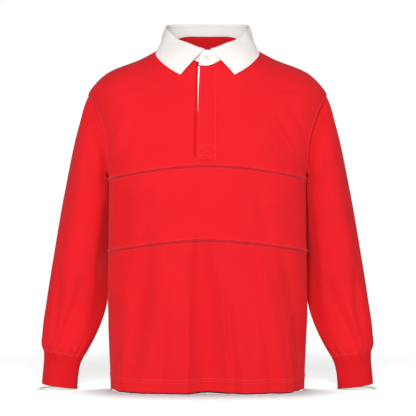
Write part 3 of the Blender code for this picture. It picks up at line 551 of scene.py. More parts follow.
def fold_line(fold):
    """Stations (x, z) along a fold's line, which passes through its three points."""
    t = np.linspace(0, 1, FOLD_STATIONS)[:, None]
    start, middle, end = np.reshape(fold[2:8], (3, 2))
    pull = 2 * middle - (start + end) / 2
    return start * (1 - t) ** 2 + pull * 2 * t * (1 - t) + end * t**2


def step_profile(across):
    """A fold that starts at a crest, drops steeply, flattens, and comes back slowly."""
    drop = np.clip(1 + across / STEP_DROP, 0, 1)
    rounded = drop * drop / (drop + STEP_ROUNDING) * (1 + STEP_ROUNDING)
    back = ease(1 - across / STEP_BACK)
    return np.where(across < 0, np.sin(math.pi / 2 * rounded), back)


def fold_depth(point):
    """How far the body's folds move the cloth out, at points of the plain form."""
    flat = point.reshape(-1, 3)
    places = flat[:, [0, 2]]
    moved = np.zeros(len(flat))
    for fold in FOLDS:
        line = fold_line(fold)
        reach = FOLD_REACH * fold.half_width
        low, high = line.min(axis=0) - reach, line.max(axis=0) + reach
        near = np.all((places > low) & (places < high), axis=1) & (fold.face * flat[:, 1] > 0)
        if not near.any():
            continue
        p = places[near]
        a, b = line[:-1], line[1:]
        run = b - a
        offset = p[:, None, :] - a[None]
        share = np.clip((offset * run).sum(-1) / (run * run).sum(-1), 0, 1)
        gap = offset - share[..., None] * run
        square = (gap * gap).sum(-1)
        best = square.argmin(axis=1)
        rows = np.arange(len(p))
        away = np.sqrt(square[rows, best])
        along = (best + share[rows, best]) / (FOLD_STATIONS - 1)
        heading = run[best]
        left = np.sign(heading[:, 0] * gap[rows, best, 1] - heading[:, 1] * gap[rows, best, 0])
        if fold.run_off:
            spread = FOLD_START_SPREAD + (1 - FOLD_START_SPREAD) * along
        else:
            spread = 1 - FOLD_MIDDLE_SPREAD * (1 - np.sin(math.pi * along))
        across = away * left / (fold.half_width * spread)
        even = np.exp(-(across**2))
        profile = even * (1 - abs(fold.side)) + step_profile(across * -np.sign(fold.side)) * abs(fold.side)
        grows = np.sin(along * math.pi / 2) if fold.run_off else np.sin(math.pi * along)
        on_face = np.clip(fold.face * flat[near, 1] / FOLD_FACE_DEPTH, 0.0, 1.0)
        moved[near] += fold.depth * grows**FOLD_END_POWER * on_face * profile
    calm = ease((NECK_CALM_Z - flat[:, 2]) / NECK_CALM_RANGE + 1)
    return (moved * calm).reshape(point.shape[:-1])


def torso_surface(level, angle):
    """(point, normal) of the outer face of the cloth on the torso."""
    point = ring_point(level, angle)
    normal = ring_normal(level, angle)
    return point + normal * fold_depth(point)[..., None], normal


def angle_at_x(level, x):
    """The torso's angle at a level where its front is at x."""
    s = section_at(np.asarray(level, float))
    share = np.abs(x) / s["half_width"]
    return np.sign(x) * np.arcsin(np.clip(share, 0, 1) ** (s["squareness"] / 2))


def armhole_angle(level, back):
    """The angle of the armhole's front or back edge at a level."""
    span = LEVELS["tip"] - LEVELS["underarm"]
    along = np.clip((np.asarray(level, float) - LEVELS["underarm"]) / span, 0.0, 1.0)
    share = (4 * along * (1 - along)) ** ARMHOLE_FULLNESS
    reach = math.radians(ARMHOLE_BACK if back else -ARMHOLE_FRONT)
    return SIDE + reach * share


def armhole_levels(back):
    """Levels that split one edge of the armhole into equal lengths, underarm to shoulder tip."""
    fine = np.linspace(LEVELS["underarm"], LEVELS["tip"], FINE_STEPS)
    points = ring_point(fine, armhole_angle(fine, back))
    length = length_on(points)
    return np.interp(np.linspace(0, length[-1], ARMHOLE_ROWS + 1), length, fine)


def seam_angle(level, start, end):
    """The angle that leaves half a seam's gap before end."""
    back_from_end = end + (start - end) * np.linspace(0, 1, FINE_STEPS) ** 3
    points = ring_point(level, back_from_end)
    away = np.linalg.norm(points - points[0], axis=1)
    return float(np.interp(SEAM_GAP / 2, away, back_from_end))


def row_angles(level, start, end, stations, fixed=()):
    """Angles that space a row's columns evenly beyond the fixed ones, closer where it bends."""
    fine = np.linspace(start, seam_angle(level, start, end), FINE_STEPS)
    points = ring_point(level, fine)
    steps = np.diff(points, axis=0)
    lengths = np.linalg.norm(steps, axis=1)
    headings = steps / lengths[:, None]
    bends = np.arccos(np.clip((headings[1:] * headings[:-1]).sum(axis=1), -1, 1))
    length = np.concatenate([[0], np.cumsum(lengths + BEND_WEIGHT * np.append(bends, bends[-1]))])
    first = np.interp(fixed[-1], fine, length) if len(fixed) else 0.0
    spread = np.interp(np.linspace(first, length[-1], stations + 1), length, fine)
    return np.concatenate([fixed[:-1], spread]) if len(fixed) else spread


def front_grid(levels):
    rows = []
    inside = np.linspace(0.0, SLIT_HALF_WIDTH, SLIT_COLUMNS + 1)
    for level in levels:
        slit = angle_at_x(level, inside)
        half = row_angles(level, 0.0, float(armhole_angle(level, False)), PANEL_COLUMNS, slit)
        rows.append(np.concatenate([-half[:0:-1], half]))
    return np.array(rows), np.array(levels)[:, None] + np.zeros((1, len(rows[0])))


def back_grid(levels):
    rows = []
    for level in levels:
        edge = float(armhole_angle(level, True))
        half = row_angles(level, math.pi, edge, BACK_COLUMNS)[::-1]
        rows.append(np.concatenate([half, 2 * math.pi - half[-2::-1]]))
    return np.array(rows), np.array(levels)[:, None] + np.zeros((1, len(rows[0])))


def length_on(line):
    """Length along a line of points, from its first one."""
    return np.concatenate([[0], np.cumsum(np.linalg.norm(np.diff(line, axis=0), axis=1))])


def lengths_along(points, axis):
    """Length along a grid from its first row or column, at every point."""
    steps = np.linalg.norm(np.diff(points, axis=axis), axis=2)
    first = np.zeros_like(np.take(steps, [0], axis=axis))
    return np.concatenate([first, np.cumsum(steps, axis=axis)], axis=axis)


def open_normals(points, towards):
    """Normals of an open grid, on the side that towards shows."""
    normal = np.cross(np.gradient(points, axis=1), np.gradient(points, axis=0))
    normal /= np.linalg.norm(normal, axis=2, keepdims=True) + 1e-12
    return normal * np.sign((normal * towards).sum(axis=2, keepdims=True).mean())


def closed_normals(points):
    """Outward normals of a closed grid, rows down a tube and columns round it."""
    down = np.gradient(points, axis=0)
    around = np.roll(points, -1, axis=1) - np.roll(points, 1, axis=1)
    normal = np.cross(down, around)
    normal /= np.linalg.norm(normal, axis=2, keepdims=True)
    outwards = points - points.mean(axis=1, keepdims=True)
    return normal * np.sign((normal * outwards).sum(axis=2).mean())


def mesh_object(name, points, faces, material, uvs=None):
    """A smooth-shaded object. faces is an array of quads; uvs holds a pair for each corner."""
    data = bpy.data.meshes.new(name)
    data.vertices.add(len(points))
    data.vertices.foreach_set("co", np.asarray(points, np.float32).ravel())
    corners = faces.size
    data.loops.add(corners)
    data.loops.foreach_set("vertex_index", faces.astype(np.int32).ravel())
    data.polygons.add(len(faces))
    width = faces.shape[1]
    data.polygons.foreach_set("loop_start", np.arange(0, corners, width, dtype=np.int32))
    data.polygons.foreach_set("use_smooth", np.ones(len(faces), bool))
    if uvs is not None:
        layer = data.uv_layers.new(name="cloth")
        layer.data.foreach_set("uv", np.asarray(uvs, np.float32).ravel())
    data.update(calc_edges=True)
    data.validate()
    data.materials.append(material)
    thing = bpy.data.objects.new(name, data)
    bpy.context.scene.collection.objects.link(thing)
    return thing


def shell(name, outer, inner, material, across, down, closed=False, cells=None):
    """A thin wall of cloth between two grids, with rounded edges. across and down are its cut lengths."""
    rows, columns = outer.shape[:2]
    wide = columns if closed else columns - 1
    if cells is None:
        cells = np.ones((rows - 1, wide), bool)
    row, column = np.nonzero(cells)
    following = (column + 1) % columns
    ring = [(row, column, column), (row, following, column + 1),
            (row + 1, following, column + 1), (row + 1, column, column)]
    index = np.stack([r * columns + c for r, c, _ in ring], axis=1)
    spare = across[:, -1:] + (across[:, -1:] - across[:, -2:-1])
    across_all = np.concatenate([across, spare], axis=1)
    down_all = np.concatenate([down, down[:, :1]], axis=1)
    uv = np.stack([np.stack([across_all[r, u], down_all[r, u]], -1) for r, _, u in ring], axis=1)
    total = rows * columns
    faces = [index, index[:, ::-1] + total]
    uvs = [uv, uv[:, ::-1]]
    padded = np.zeros((rows + 1, wide + 2), bool)
    padded[1:-1, 1:-1] = cells
    if closed:
        padded[1:-1, 0], padded[1:-1, -1] = cells[:, -1], cells[:, 0]
    beside = (padded[row, column + 1], padded[row + 1, column + 2],
              padded[row + 2, column + 1], padded[row + 1, column])
    for edge, filled in enumerate(beside):
        bare = ~filled
        a, b = index[bare, edge], index[bare, (edge + 1) % 4]
        faces.append(np.stack([b, a, a + total, b + total], axis=1))
        ua, ub = uv[bare, edge], uv[bare, (edge + 1) % 4]
        uvs.append(np.stack([ub, ua, ua, ub], axis=1))
    faces, uvs = np.concatenate(faces), np.concatenate(uvs)
    points = np.concatenate([outer.reshape(-1, 3), inner.reshape(-1, 3)])
    some = index[:: max(1, len(index) // FACING_SAMPLES)]
    corner = points[some[:, 0]]
    facing = np.cross(points[some[:, 1]] - corner, points[some[:, 3]] - corner)
    if ((corner - points[some[:, 0] + total]) * facing).sum() < 0:
        faces, uvs = faces[:, ::-1], uvs[:, ::-1]
    used, faces = np.unique(faces, return_inverse=True)
    piece = mesh_object(name, points[used], faces.reshape(-1, 4), material, uvs)
    edge = piece.modifiers.new("soft_edge", "BEVEL")
    edge.width = float(np.linalg.norm(outer[0, 0] - inner[0, 0])) * EDGE_SHARE
    edge.segments = 2
    edge.limit_method = "ANGLE"
    edge.angle_limit = math.radians(60)
    return piece


def declare(piece, node):
    """Puts a cloth piece on the frame, on its root, in place of its node's part, which it hides."""
    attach(piece, "root")
    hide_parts(node)


def sewn(name, runs, material, radius=THREAD, pitch=STITCH_PITCH, share=STITCH_SHARE):
    """Stitches along runs of (points, normals), each stitch a short thread that dips at its ends."""
    profile = np.array(STITCH_HEIGHTS) * radius
    around = np.linspace(0, 2 * math.pi, THREAD_SIDES + 1)[:-1]
    all_points, all_faces, count = [], [], 0
    for points, normals in runs:
        length = length_on(points)
        number = max(1, int(length[-1] / pitch))
        starts = np.arange(number) * (length[-1] / number)
        places = starts[:, None] + np.linspace(0, share * length[-1] / number, len(profile))
        centre = np.stack([np.interp(places, length, points[:, k]) for k in range(3)], axis=-1)
        up = np.stack([np.interp(places, length, normals[:, k]) for k in range(3)], axis=-1)
        up /= np.linalg.norm(up, axis=-1, keepdims=True)
        along = np.gradient(centre, axis=1)
        side = np.cross(along, up)
        side /= np.linalg.norm(side, axis=-1, keepdims=True) + 1e-12
        centre = centre + up * profile[:, None]
        thick = radius * np.array(STITCH_THICKNESSES)
        ring = (side[:, :, None] * np.cos(around)[:, None] + up[:, :, None] * np.sin(around)[:, None])
        tube = centre[:, :, None] + ring * thick[:, None, None]
        n, rings, sides = tube.shape[:3]
        number_of = np.arange(n * rings * sides).reshape(n, rings, sides) + count
        nxt = np.roll(number_of, -1, axis=2)
        walls = np.stack([number_of[:, :-1], nxt[:, :-1], nxt[:, 1:], number_of[:, 1:]], axis=-1)
        all_faces.append(walls.reshape(-1, 4))
        for end, flip in ((0, 1), (rings - 1, -1)):
            cap = number_of[:, end, ::flip]
            all_faces.append(cap[:, [0, 4, 3, 2]])
            all_faces.append(np.stack([cap[:, 0], cap[:, 2], cap[:, 1], cap[:, 1]], axis=-1))
        all_points.append(tube.reshape(-1, 3))
        count += n * rings * sides
    faces = np.concatenate(all_faces)
    points = np.concatenate(all_points)
    quads = faces[faces[:, 2] != faces[:, 3]]
    ends = faces[faces[:, 2] == faces[:, 3]][:, :3]
    data = bpy.data.meshes.new(name)
    data.from_pydata(points.tolist(), [], quads.tolist() + ends.tolist())
    data.shade_smooth()
    data.materials.append(material)
    thing = bpy.data.objects.new(name, data)
    bpy.context.scene.collection.objects.link(thing)
    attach(thing, "root")
    return thing


def nodes_of(name):
    material = bpy.data.materials.new(name)
    material.use_nodes = True
    return material, material.node_tree, material.node_tree.nodes["Principled BSDF"]


def node(tree, kind, *inputs, **settings):
    """A shader node with its first inputs linked or set, and its settings."""
    made = tree.nodes.new(kind)
    for key, value in settings.items():
        setattr(made, key, value)
    for socket, value in zip(made.inputs, inputs):
        if isinstance(value, bpy.types.NodeSocket):
            tree.links.new(value, socket)
        elif value is not None:
            socket.default_value = value
    return made


def math_node(tree, operation, *inputs):
    return node(tree, "ShaderNodeMath", *inputs, operation=operation).outputs[0]


def noise(tree, vector, scale, detail=3.0, rough=0.5):
    made = node(tree, "ShaderNodeTexNoise")
    tree.links.new(vector, made.inputs["Vector"])
    made.inputs["Scale"].default_value = scale
    made.inputs["Detail"].default_value = detail
    made.inputs["Roughness"].default_value = rough
    return made.outputs[0]


def blend(tree, factor, first, second):
    mix = node(tree, "ShaderNodeMix", data_type="RGBA")
    tree.links.new(factor, mix.inputs[0])
    for socket, value in ((mix.inputs[6], first), (mix.inputs[7], second)):
        if isinstance(value, bpy.types.NodeSocket):
            tree.links.new(value, socket)
        else:
            socket.default_value = (*value, 1.0)
    return mix.outputs[2]


def spread_of(tree, value, low, high):
    """The value stretched so that low to high becomes 0 to 1."""
    made = node(tree, "ShaderNodeMapRange")
    tree.links.new(value, made.inputs[0])
    made.inputs[1].default_value, made.inputs[2].default_value = low, high
    return made.outputs[0]


def cloth_coordinates(tree):
    """(across, down) in metres of the cut cloth, and a place in space for broad variation."""
    uv = node(tree, "ShaderNodeUVMap", uv_map="cloth")
    split = node(tree, "ShaderNodeSeparateXYZ", uv.outputs[0])
    place = node(tree, "ShaderNodeTexCoord").outputs["Object"]
    return split.outputs[0], split.outputs[1], place


def bump(tree, shader, height, distance, strength):
    made = node(tree, "ShaderNodeBump")
    made.inputs["Strength"].default_value = strength
    made.inputs["Distance"].default_value = distance
    tree.links.new(height, made.inputs["Height"])
    tree.links.new(made.outputs[0], shader.inputs["Normal"])


def cloth_finish(shader, roughness, sheen, sheen_roughness, tint):
    shader.inputs["Roughness"].default_value = roughness
    shader.inputs["Sheen Weight"].default_value = sheen
    shader.inputs["Sheen Roughness"].default_value = sheen_roughness
    shader.inputs["Sheen Tint"].default_value = (*tint, 1.0)
    shader.inputs["Specular IOR Level"].default_value = 0.12


def knit(tree, across, down, wale, course):
    """Height of plain knit: columns of V-shaped loops."""
    u = math_node(tree, "DIVIDE", across, wale)
    v = math_node(tree, "DIVIDE", down, course)
    within = math_node(tree, "SUBTRACT", math_node(tree, "FRACT", u), 0.5)
    leg = math_node(tree, "ABSOLUTE", within)
    phase = math_node(tree, "MULTIPLY", math_node(tree, "ADD", v, leg), 2 * math.pi)
    loops = math_node(tree, "MULTIPLY_ADD", math_node(tree, "SINE", phase), 0.5, 0.5)
    column = math_node(tree, "SINE", math_node(tree, "MULTIPLY", leg, 2 * math.pi))
    return math_node(tree, "MULTIPLY", loops, math_node(tree, "ABSOLUTE", column))


def darker(colour, share):
    return tuple(c * share for c in colour)


def jersey(name, colour, deep, wale=0.0013, course=0.0010):
    material, tree, shader = nodes_of(name)
    across, down, place = cloth_coordinates(tree)
    broad = noise(tree, place, 9.0, 3.0)
    fine = noise(tree, place, 420.0, 2.0, 0.7)
    loops = knit(tree, across, down, wale, course)
    # The colour varies at random with broad and fine noise, and besides that it darkens as painted shade in
    # the low places between the knit's loops, where the bump sinks
    shade = math_node(tree, "MULTIPLY_ADD", spread_of(tree, broad, 0.35, 0.65), 0.35, 0.0)
    shade = math_node(tree, "MULTIPLY_ADD", spread_of(tree, fine, 0.3, 0.7), 0.20, shade)
    shade = math_node(tree, "MULTIPLY_ADD", math_node(tree, "SUBTRACT", 1.0, loops), 0.18, shade)
    tree.links.new(blend(tree, shade, colour, deep), shader.inputs["Base Color"])
    soft = math_node(tree, "MULTIPLY_ADD", fine, 0.6, loops)
    bump(tree, shader, soft, 0.0003, 0.55)
    cloth_finish(shader, 0.85, 0.07, 0.45, (1.0, 0.75, 0.75))
    return material


def rib(name, colour, deep, pitch=0.0026, course=0.0011):
    material, tree, shader = nodes_of(name)
    across, down, place = cloth_coordinates(tree)
    wave = math_node(tree, "SINE", math_node(tree, "MULTIPLY", across, 2 * math.pi / pitch))
    ribs = math_node(tree, "MULTIPLY_ADD", wave, 0.5, 0.5)
    loops = knit(tree, across, down, pitch / 2, course)
    fine = noise(tree, place, 380.0, 2.0, 0.7)
    height = math_node(tree, "MULTIPLY_ADD", loops, 0.3, ribs)
    # Painted shade: the colour darkens in the grooves between the ribs, where the bump sinks; the fine noise
    # adds a random tone
    shade = math_node(tree, "MULTIPLY_ADD", math_node(tree, "SUBTRACT", 1.0, ribs), 0.35, 0.0)
    shade = math_node(tree, "MULTIPLY_ADD", fine, 0.25, shade)
    tree.links.new(blend(tree, shade, colour, deep), shader.inputs["Base Color"])
    bump(tree, shader, height, 0.0006, 0.6)
    cloth_finish(shader, 0.88, 0.07, 0.45, (1.0, 0.75, 0.75))
    return material


def twill(name, colour, deep, pitch=0.0011, weft_pitch=0.0006):
    material, tree, shader = nodes_of(name)
    across, down, place = cloth_coordinates(tree)
    lean = math_node(tree, "ADD", across, math_node(tree, "MULTIPLY", down, 0.8))
    wave = math_node(tree, "SINE", math_node(tree, "MULTIPLY", lean, 2 * math.pi / pitch))
    weft = math_node(tree, "SINE", math_node(tree, "MULTIPLY", down, 2 * math.pi / weft_pitch))
    height = math_node(tree, "MULTIPLY_ADD", weft, 0.25, wave)
    broad = noise(tree, place, 26.0, 3.0)
    fine = noise(tree, place, 500.0, 2.0, 0.7)
    shade = math_node(tree, "MULTIPLY_ADD", spread_of(tree, broad, 0.35, 0.65), 0.4, 0.0)
    shade = math_node(tree, "MULTIPLY_ADD", fine, 0.3, shade)
    shade = math_node(tree, "MULTIPLY_ADD", wave, 0.08, shade)
    tree.links.new(blend(tree, shade, colour, deep), shader.inputs["Base Color"])
    bump(tree, shader, height, 0.00018, 0.5)
    cloth_finish(shader, 0.8, 0.12, 0.4, (1.0, 1.0, 1.0))
    return material


def thread(name, colour):
    material, tree, shader = nodes_of(name)
    place = node(tree, "ShaderNodeTexCoord").outputs["Object"]
    fibre = noise(tree, place, 900.0, 2.0, 0.7)
    tree.links.new(blend(tree, fibre, colour, darker(colour, 0.75)), shader.inputs["Base Color"])
    bump(tree, shader, fibre, 0.0002, 0.5)
    cloth_finish(shader, 0.6, 0.1, 0.4, (1.0, 1.0, 1.0))
    return material


def button_plastic(name, colour):
    material, tree, shader = nodes_of(name)
    place = node(tree, "ShaderNodeTexCoord").outputs["Object"]
    cloud = noise(tree, place, 300.0, 3.0)
    tree.links.new(blend(tree, cloud, colour, darker(colour, 0.9)), shader.inputs["Base Color"])
    rough = math_node(tree, "MULTIPLY_ADD", cloud, 0.15, 0.22)
    tree.links.new(rough, shader.inputs["Roughness"])
    bump(tree, shader, cloud, 0.0001, 0.2)
    shader.inputs["Coat Weight"].default_value = 0.3
    shader.inputs["Coat Roughness"].default_value = 0.2
    return material


def ripple(along, pitch, seed):
    """An uneven wave of about one unit, for puckers beside a line of stitches."""
    turn = 2 * math.pi * along / pitch
    slow = 0.6 * np.sin(0.61 * turn + 2.1 * seed)
    quick = 0.4 * np.sin(1.73 * turn + 3.7 * seed)
    return (np.sin(turn + seed) + slow + quick) / 2


def seam_relief(away, along, seed, pucker, rise=SEAM_RISE, band=SEAM_BAND):
    """Height of the cloth near a seam: a flat raised band of doubled cloth, with puckers beside it."""
    raised = rise * ease((band - away) / (BAND_SHOULDER * band) + 0.5)
    fades = np.exp(-((away / PUCKER_REACH) ** 2))
    return raised + pucker * fades * ripple(along, PUCKER_PITCH, seed)


def placket_edge(field):
    """A reader of the placket's edge at any level."""
    levels = [e.level for e in PLACKET_EDGES][::-1]
    values = [getattr(e, field) for e in PLACKET_EDGES][::-1]
    return lambda level: smooth(levels, values, level)


def placket_groove(levels, points):
    """The front sinks along the placket's free edge, which stands over it."""
    away = points[..., 0] - placket_edge("strip_x")(levels) + GROOVE_FROM_EDGE
    begins = ease((levels - UNDERARM_LEVEL) / GROOVE_GROWS)
    return -GROOVE_DEPTH * begins * np.exp(-((away / GROOVE_HALF_WIDTH) ** 2))


def body_panel(name, grid, levels_of_seams, wall, material, armhole=False, cells=None):
    """A panel of the torso with its folds and the relief of the seams that cross or edge it."""
    angles, levels = grid
    outer, normal = torso_surface(levels, angles)
    across = lengths_along(outer, 1)
    middle = across[:, across.shape[1] // 2 : across.shape[1] // 2 + 1]
    across = across - middle
    relief = np.zeros(levels.shape)
    for number, (level, pucker) in enumerate(levels_of_seams):
        relief += seam_relief(np.abs(levels - level), across, SEAM_SEED + number, pucker)
    if armhole:
        above, below = levels - UNDERARM_LEVEL, LEVELS["tip"] + ARMHOLE_GROWS - levels
        on_arm = ease(above / ARMHOLE_GROWS) * ease(below / ARMHOLE_GROWS)
        for edge in (0, -1):
            away = np.abs(across - across[:, edge : edge + 1 or None])
            relief += on_arm * seam_relief(
                away, levels, ARMHOLE_SEED + edge, ARMHOLE_PUCKER, ARMHOLE_RISE, ARMHOLE_BAND)
    if cells is not None:
        relief += placket_groove(levels, outer)
    outer = outer + normal * relief[..., None]
    facing = open_normals(outer, normal)
    piece = shell(name, outer, outer - facing * wall, material, across, levels, cells=cells)
    return piece, outer, facing


def row_on(outer, facing, level_rows, level):
    """The line (points, normals) of a panel's outer face at one level."""
    levels = np.asarray(level_rows)
    place = int(np.clip(np.searchsorted(levels, level) - 1, 0, len(levels) - 2))
    t = (level - levels[place]) / (levels[place + 1] - levels[place])
    points = outer[place] * (1 - t) + outer[place + 1] * t
    normals = facing[place] * (1 - t) + facing[place + 1] * t
    return points, normals


def edge_inset(outer, facing, distance, edge):
    """The line that runs down a grid at a distance from its first (0) or last (-1) column."""
    points = outer[:, ::-1] if edge else outer
    normals = facing[:, ::-1] if edge else facing
    away = lengths_along(points, 1)
    found = [
        [np.interp(distance, away[r], block[r, :, k]) for k in range(3)]
        for block in (points, normals)
        for r in range(len(points))
    ]
    found = np.array(found)
    return found[: len(points)], found[len(points) :]


def hem_stitching(name, outer, facing, levels, mat):
    """Two lines of stitches that hold the turned hem."""
    lines = [row_on(outer, facing, levels, HEM_DEPTH - gap) for gap in (0, NEEDLE_GAP)]
    return sewn(name, lines, mat["thread"])


def both_edges(outer, facing, rows, distance):
    """Stitch lines beside the first and last column of some rows."""
    return [edge_inset(outer[rows], facing[rows], distance, edge) for edge in (0, -1)]


def make_body(mat):
    waist, chest, neck = (LEVELS[k] for k in ("waist", "chest", "neck"))
    off = SEAM_GAP / 8
    hem_rows = list(np.linspace(0, HEM_DEPTH, HEM_ROWS)) + [HEM_DEPTH + HEM_STEP]
    lower = hem_rows + list(np.linspace(hem_rows[-1], waist - off, LOWER_ROWS)[1:])
    middle = list(np.linspace(waist + off, chest - off, MIDDLE_ROWS + 1))
    shoulder = list(np.linspace(LEVELS["tip"], neck, SHOULDER_ROWS + 1)[1:])
    lower_walls = np.full((len(lower), 1, 1), BODY_WALL)
    lower_walls[:HEM_ROWS] = HEM_WALL
    hem_seam = (HEM_DEPTH, HEM_PUCKER)
    waist_seam, chest_seam = (waist, SEAM_PUCKER), (chest, SEAM_PUCKER)

    piece, outer, facing = body_panel(
        "front_lower_cloth", front_grid(lower), [waist_seam, hem_seam], lower_walls, mat["red"])
    hem = hem_stitching("front_hem_stitching", outer, facing, lower, mat)
    waist_low = row_on(outer, facing, lower, waist - NEEDLE_FROM_SEAM)
    declare(piece, "front_lower")

    piece, outer, facing = body_panel(
        "front_middle_cloth", front_grid(middle), [waist_seam, chest_seam], BODY_WALL, mat["red"])
    waist_high = row_on(outer, facing, middle, waist + NEEDLE_FROM_SEAM)
    chest_low = row_on(outer, facing, middle, chest - NEEDLE_FROM_SEAM)
    cover = seam_cover("waist_seam_stitching", waist_low, waist_high, mat)
    declare(piece, "front_middle")

    by_seam = [chest + off] + [chest + height for height in BY_CHEST_SEAM]
    upper = by_seam + list(armhole_levels(False)) + shoulder
    columns = 2 * (PANEL_COLUMNS + SLIT_COLUMNS)
    cells = np.ones((len(upper) - 1, columns), bool)
    centre = columns // 2
    slit_rows = np.array(upper[:-1]) >= UNDERARM_LEVEL - ROUNDING
    cells[slit_rows, centre - SLIT_COLUMNS : centre + SLIT_COLUMNS] = False
    piece, outer, facing = body_panel(
        "front_upper_cloth", front_grid(upper), [chest_seam], BODY_WALL, mat["red"], True, cells)
    chest_high = row_on(outer, facing, upper, chest + NEEDLE_FROM_SEAM)
    cover = seam_cover("chest_seam_stitching", chest_low, chest_high, mat)
    first = len(by_seam)
    arms = both_edges(outer, facing, slice(first, first + ARMHOLE_ROWS + 1), ARMHOLE_STITCH)
    tops = both_edges(outer, facing, slice(first + ARMHOLE_ROWS, None), SHOULDER_STITCH)
    arm = sewn("front_armhole_stitching", arms + tops, mat["thread"])
    declare(piece, "front_upper")

    back = lower + list(np.linspace(waist, chest, MIDDLE_ROWS + 1)[1:])
    back += list(armhole_levels(True)) + shoulder
    back_walls = np.full((len(back), 1, 1), BODY_WALL)
    back_walls[:HEM_ROWS] = HEM_WALL
    piece, outer, facing = body_panel(
        "back_cloth", back_grid(back), [hem_seam], back_walls, mat["red"], True)
    hem = hem_stitching("back_hem_stitching", outer, facing, back, mat)
    first = len(back) - len(shoulder) - ARMHOLE_ROWS - 1
    arms = both_edges(outer, facing, slice(first, first + ARMHOLE_ROWS + 1), ARMHOLE_STITCH)
    arm = sewn("back_armhole_stitching", arms, mat["thread"])
    declare(piece, "back")


def seam_cover(name, low, high, mat):
    """A flat cover stitch over a seam: two needle lines and the thread that zigzags between them."""
    (low_points, low_normals), (high_points, high_normals) = low, high
    count = int(np.linalg.norm(np.diff(low_points, axis=0), axis=1).sum() / LOOPER_STEP)
    share = np.linspace(0, 1, count)

    def at(block):
        length = np.linspace(0, 1, len(block))
        return np.stack([np.interp(share, length, block[:, k]) for k in range(3)], axis=-1)

    which = (np.arange(count) % 2)[:, None]
    zigzag = at(low_points) * (1 - which) + at(high_points) * which
    up = at(low_normals) * (1 - which) + at(high_normals) * which
    fine = np.linspace(0, count - 1, 3 * count)
    dense = np.stack([np.interp(fine, np.arange(count), zigzag[:, k]) for k in range(3)], axis=-1)
    ups = np.stack([np.interp(fine, np.arange(count), up[:, k]) for k in range(3)], axis=-1)
    dense = dense + ups * (BAND_ARCH * np.sin(math.pi * (fine % 1)))[:, None]
    looper = sewn(
        name, [(dense, ups)], mat["band_thread"], THREAD, LOOPER_PITCH, LOOPER_SHARE)
    needles = sewn(name.replace("seam", "needle"), [low, high], mat["thread"])
    return [looper, needles]


def torso_half_width(y, z):
    """How far the plain torso below the arms reaches sideways, at places on its depth and height."""
    below_arms = [s for s in SECTIONS if s.level < UNDERARM_LEVEL]
    heights = [s.side_z for s in below_arms]
    values = {
        field: np.interp(z, heights, [getattr(s, field) for s in below_arms])
        for field in ("half_width", "centre_y", "front_depth", "back_depth", "squareness")
    }
    away = y - values["centre_y"]
    depth = np.where(away < 0, values["front_depth"], values["back_depth"])
    share = np.clip(np.abs(away) / depth, 0, 1) ** values["squareness"]
    return values["half_width"] * (1 - share) ** (1 / values["squareness"])


def oval(ring, angles):
    """A squarish oval round the arm, tipped by the ring's lean."""
    lean = math.radians(ring.lean)
    outward = np.array([math.cos(lean), 0.0, math.sin(lean)])
    forward = np.array([0.0, -1.0, 0.0])
    power = 2 / SLEEVE_SQUARENESS
    across = signed_power(np.cos(angles), power)[:, None] * ring.half_width * outward
    deep = signed_power(np.sin(angles), power)[:, None] * ring.half_depth * forward
    return np.array([ring.x, ring.y, ring.z]) + across + deep


def armhole_ring():
    """The armhole's points, their normals and the direction on into the sleeve."""
    front, back = armhole_levels(False)[::-1], armhole_levels(True)[1:-1]
    levels = np.concatenate([front, back])
    angles = np.concatenate([armhole_angle(front, False), armhole_angle(back, True)])
    points, normals = torso_surface(levels, angles)
    round_it = np.roll(points, -1, axis=0) - np.roll(points, 1, axis=0)
    onward = np.cross(normals, round_it)
    return points, normals, onward / np.linalg.norm(onward, axis=1, keepdims=True)


def round_arm(degrees, arcs):
    """The arcs' shares at each column round the arm."""
    return sum(
        ease((degrees - arc.start) / arc.rise) * ease((arc.end - degrees) / arc.fall) * arc.share
        for arc in arcs
    )


def sleeve_sway(side, phase):
    """Degrees by which a crease of the right sleeve lies off its twin on the left sleeve."""
    return SLEEVE_DIFFERENCE * math.sin(phase) if side < 0 else 0.0


def off_middle(around, middle):
    """Degrees round the arm between each column and a line's middle, given in radians."""
    return np.degrees(np.arctan2(np.sin(around - middle), np.cos(around - middle)))


def bell(value):
    """1 at 0, falling away smoothly on both sides."""
    return np.exp(-(value**2))


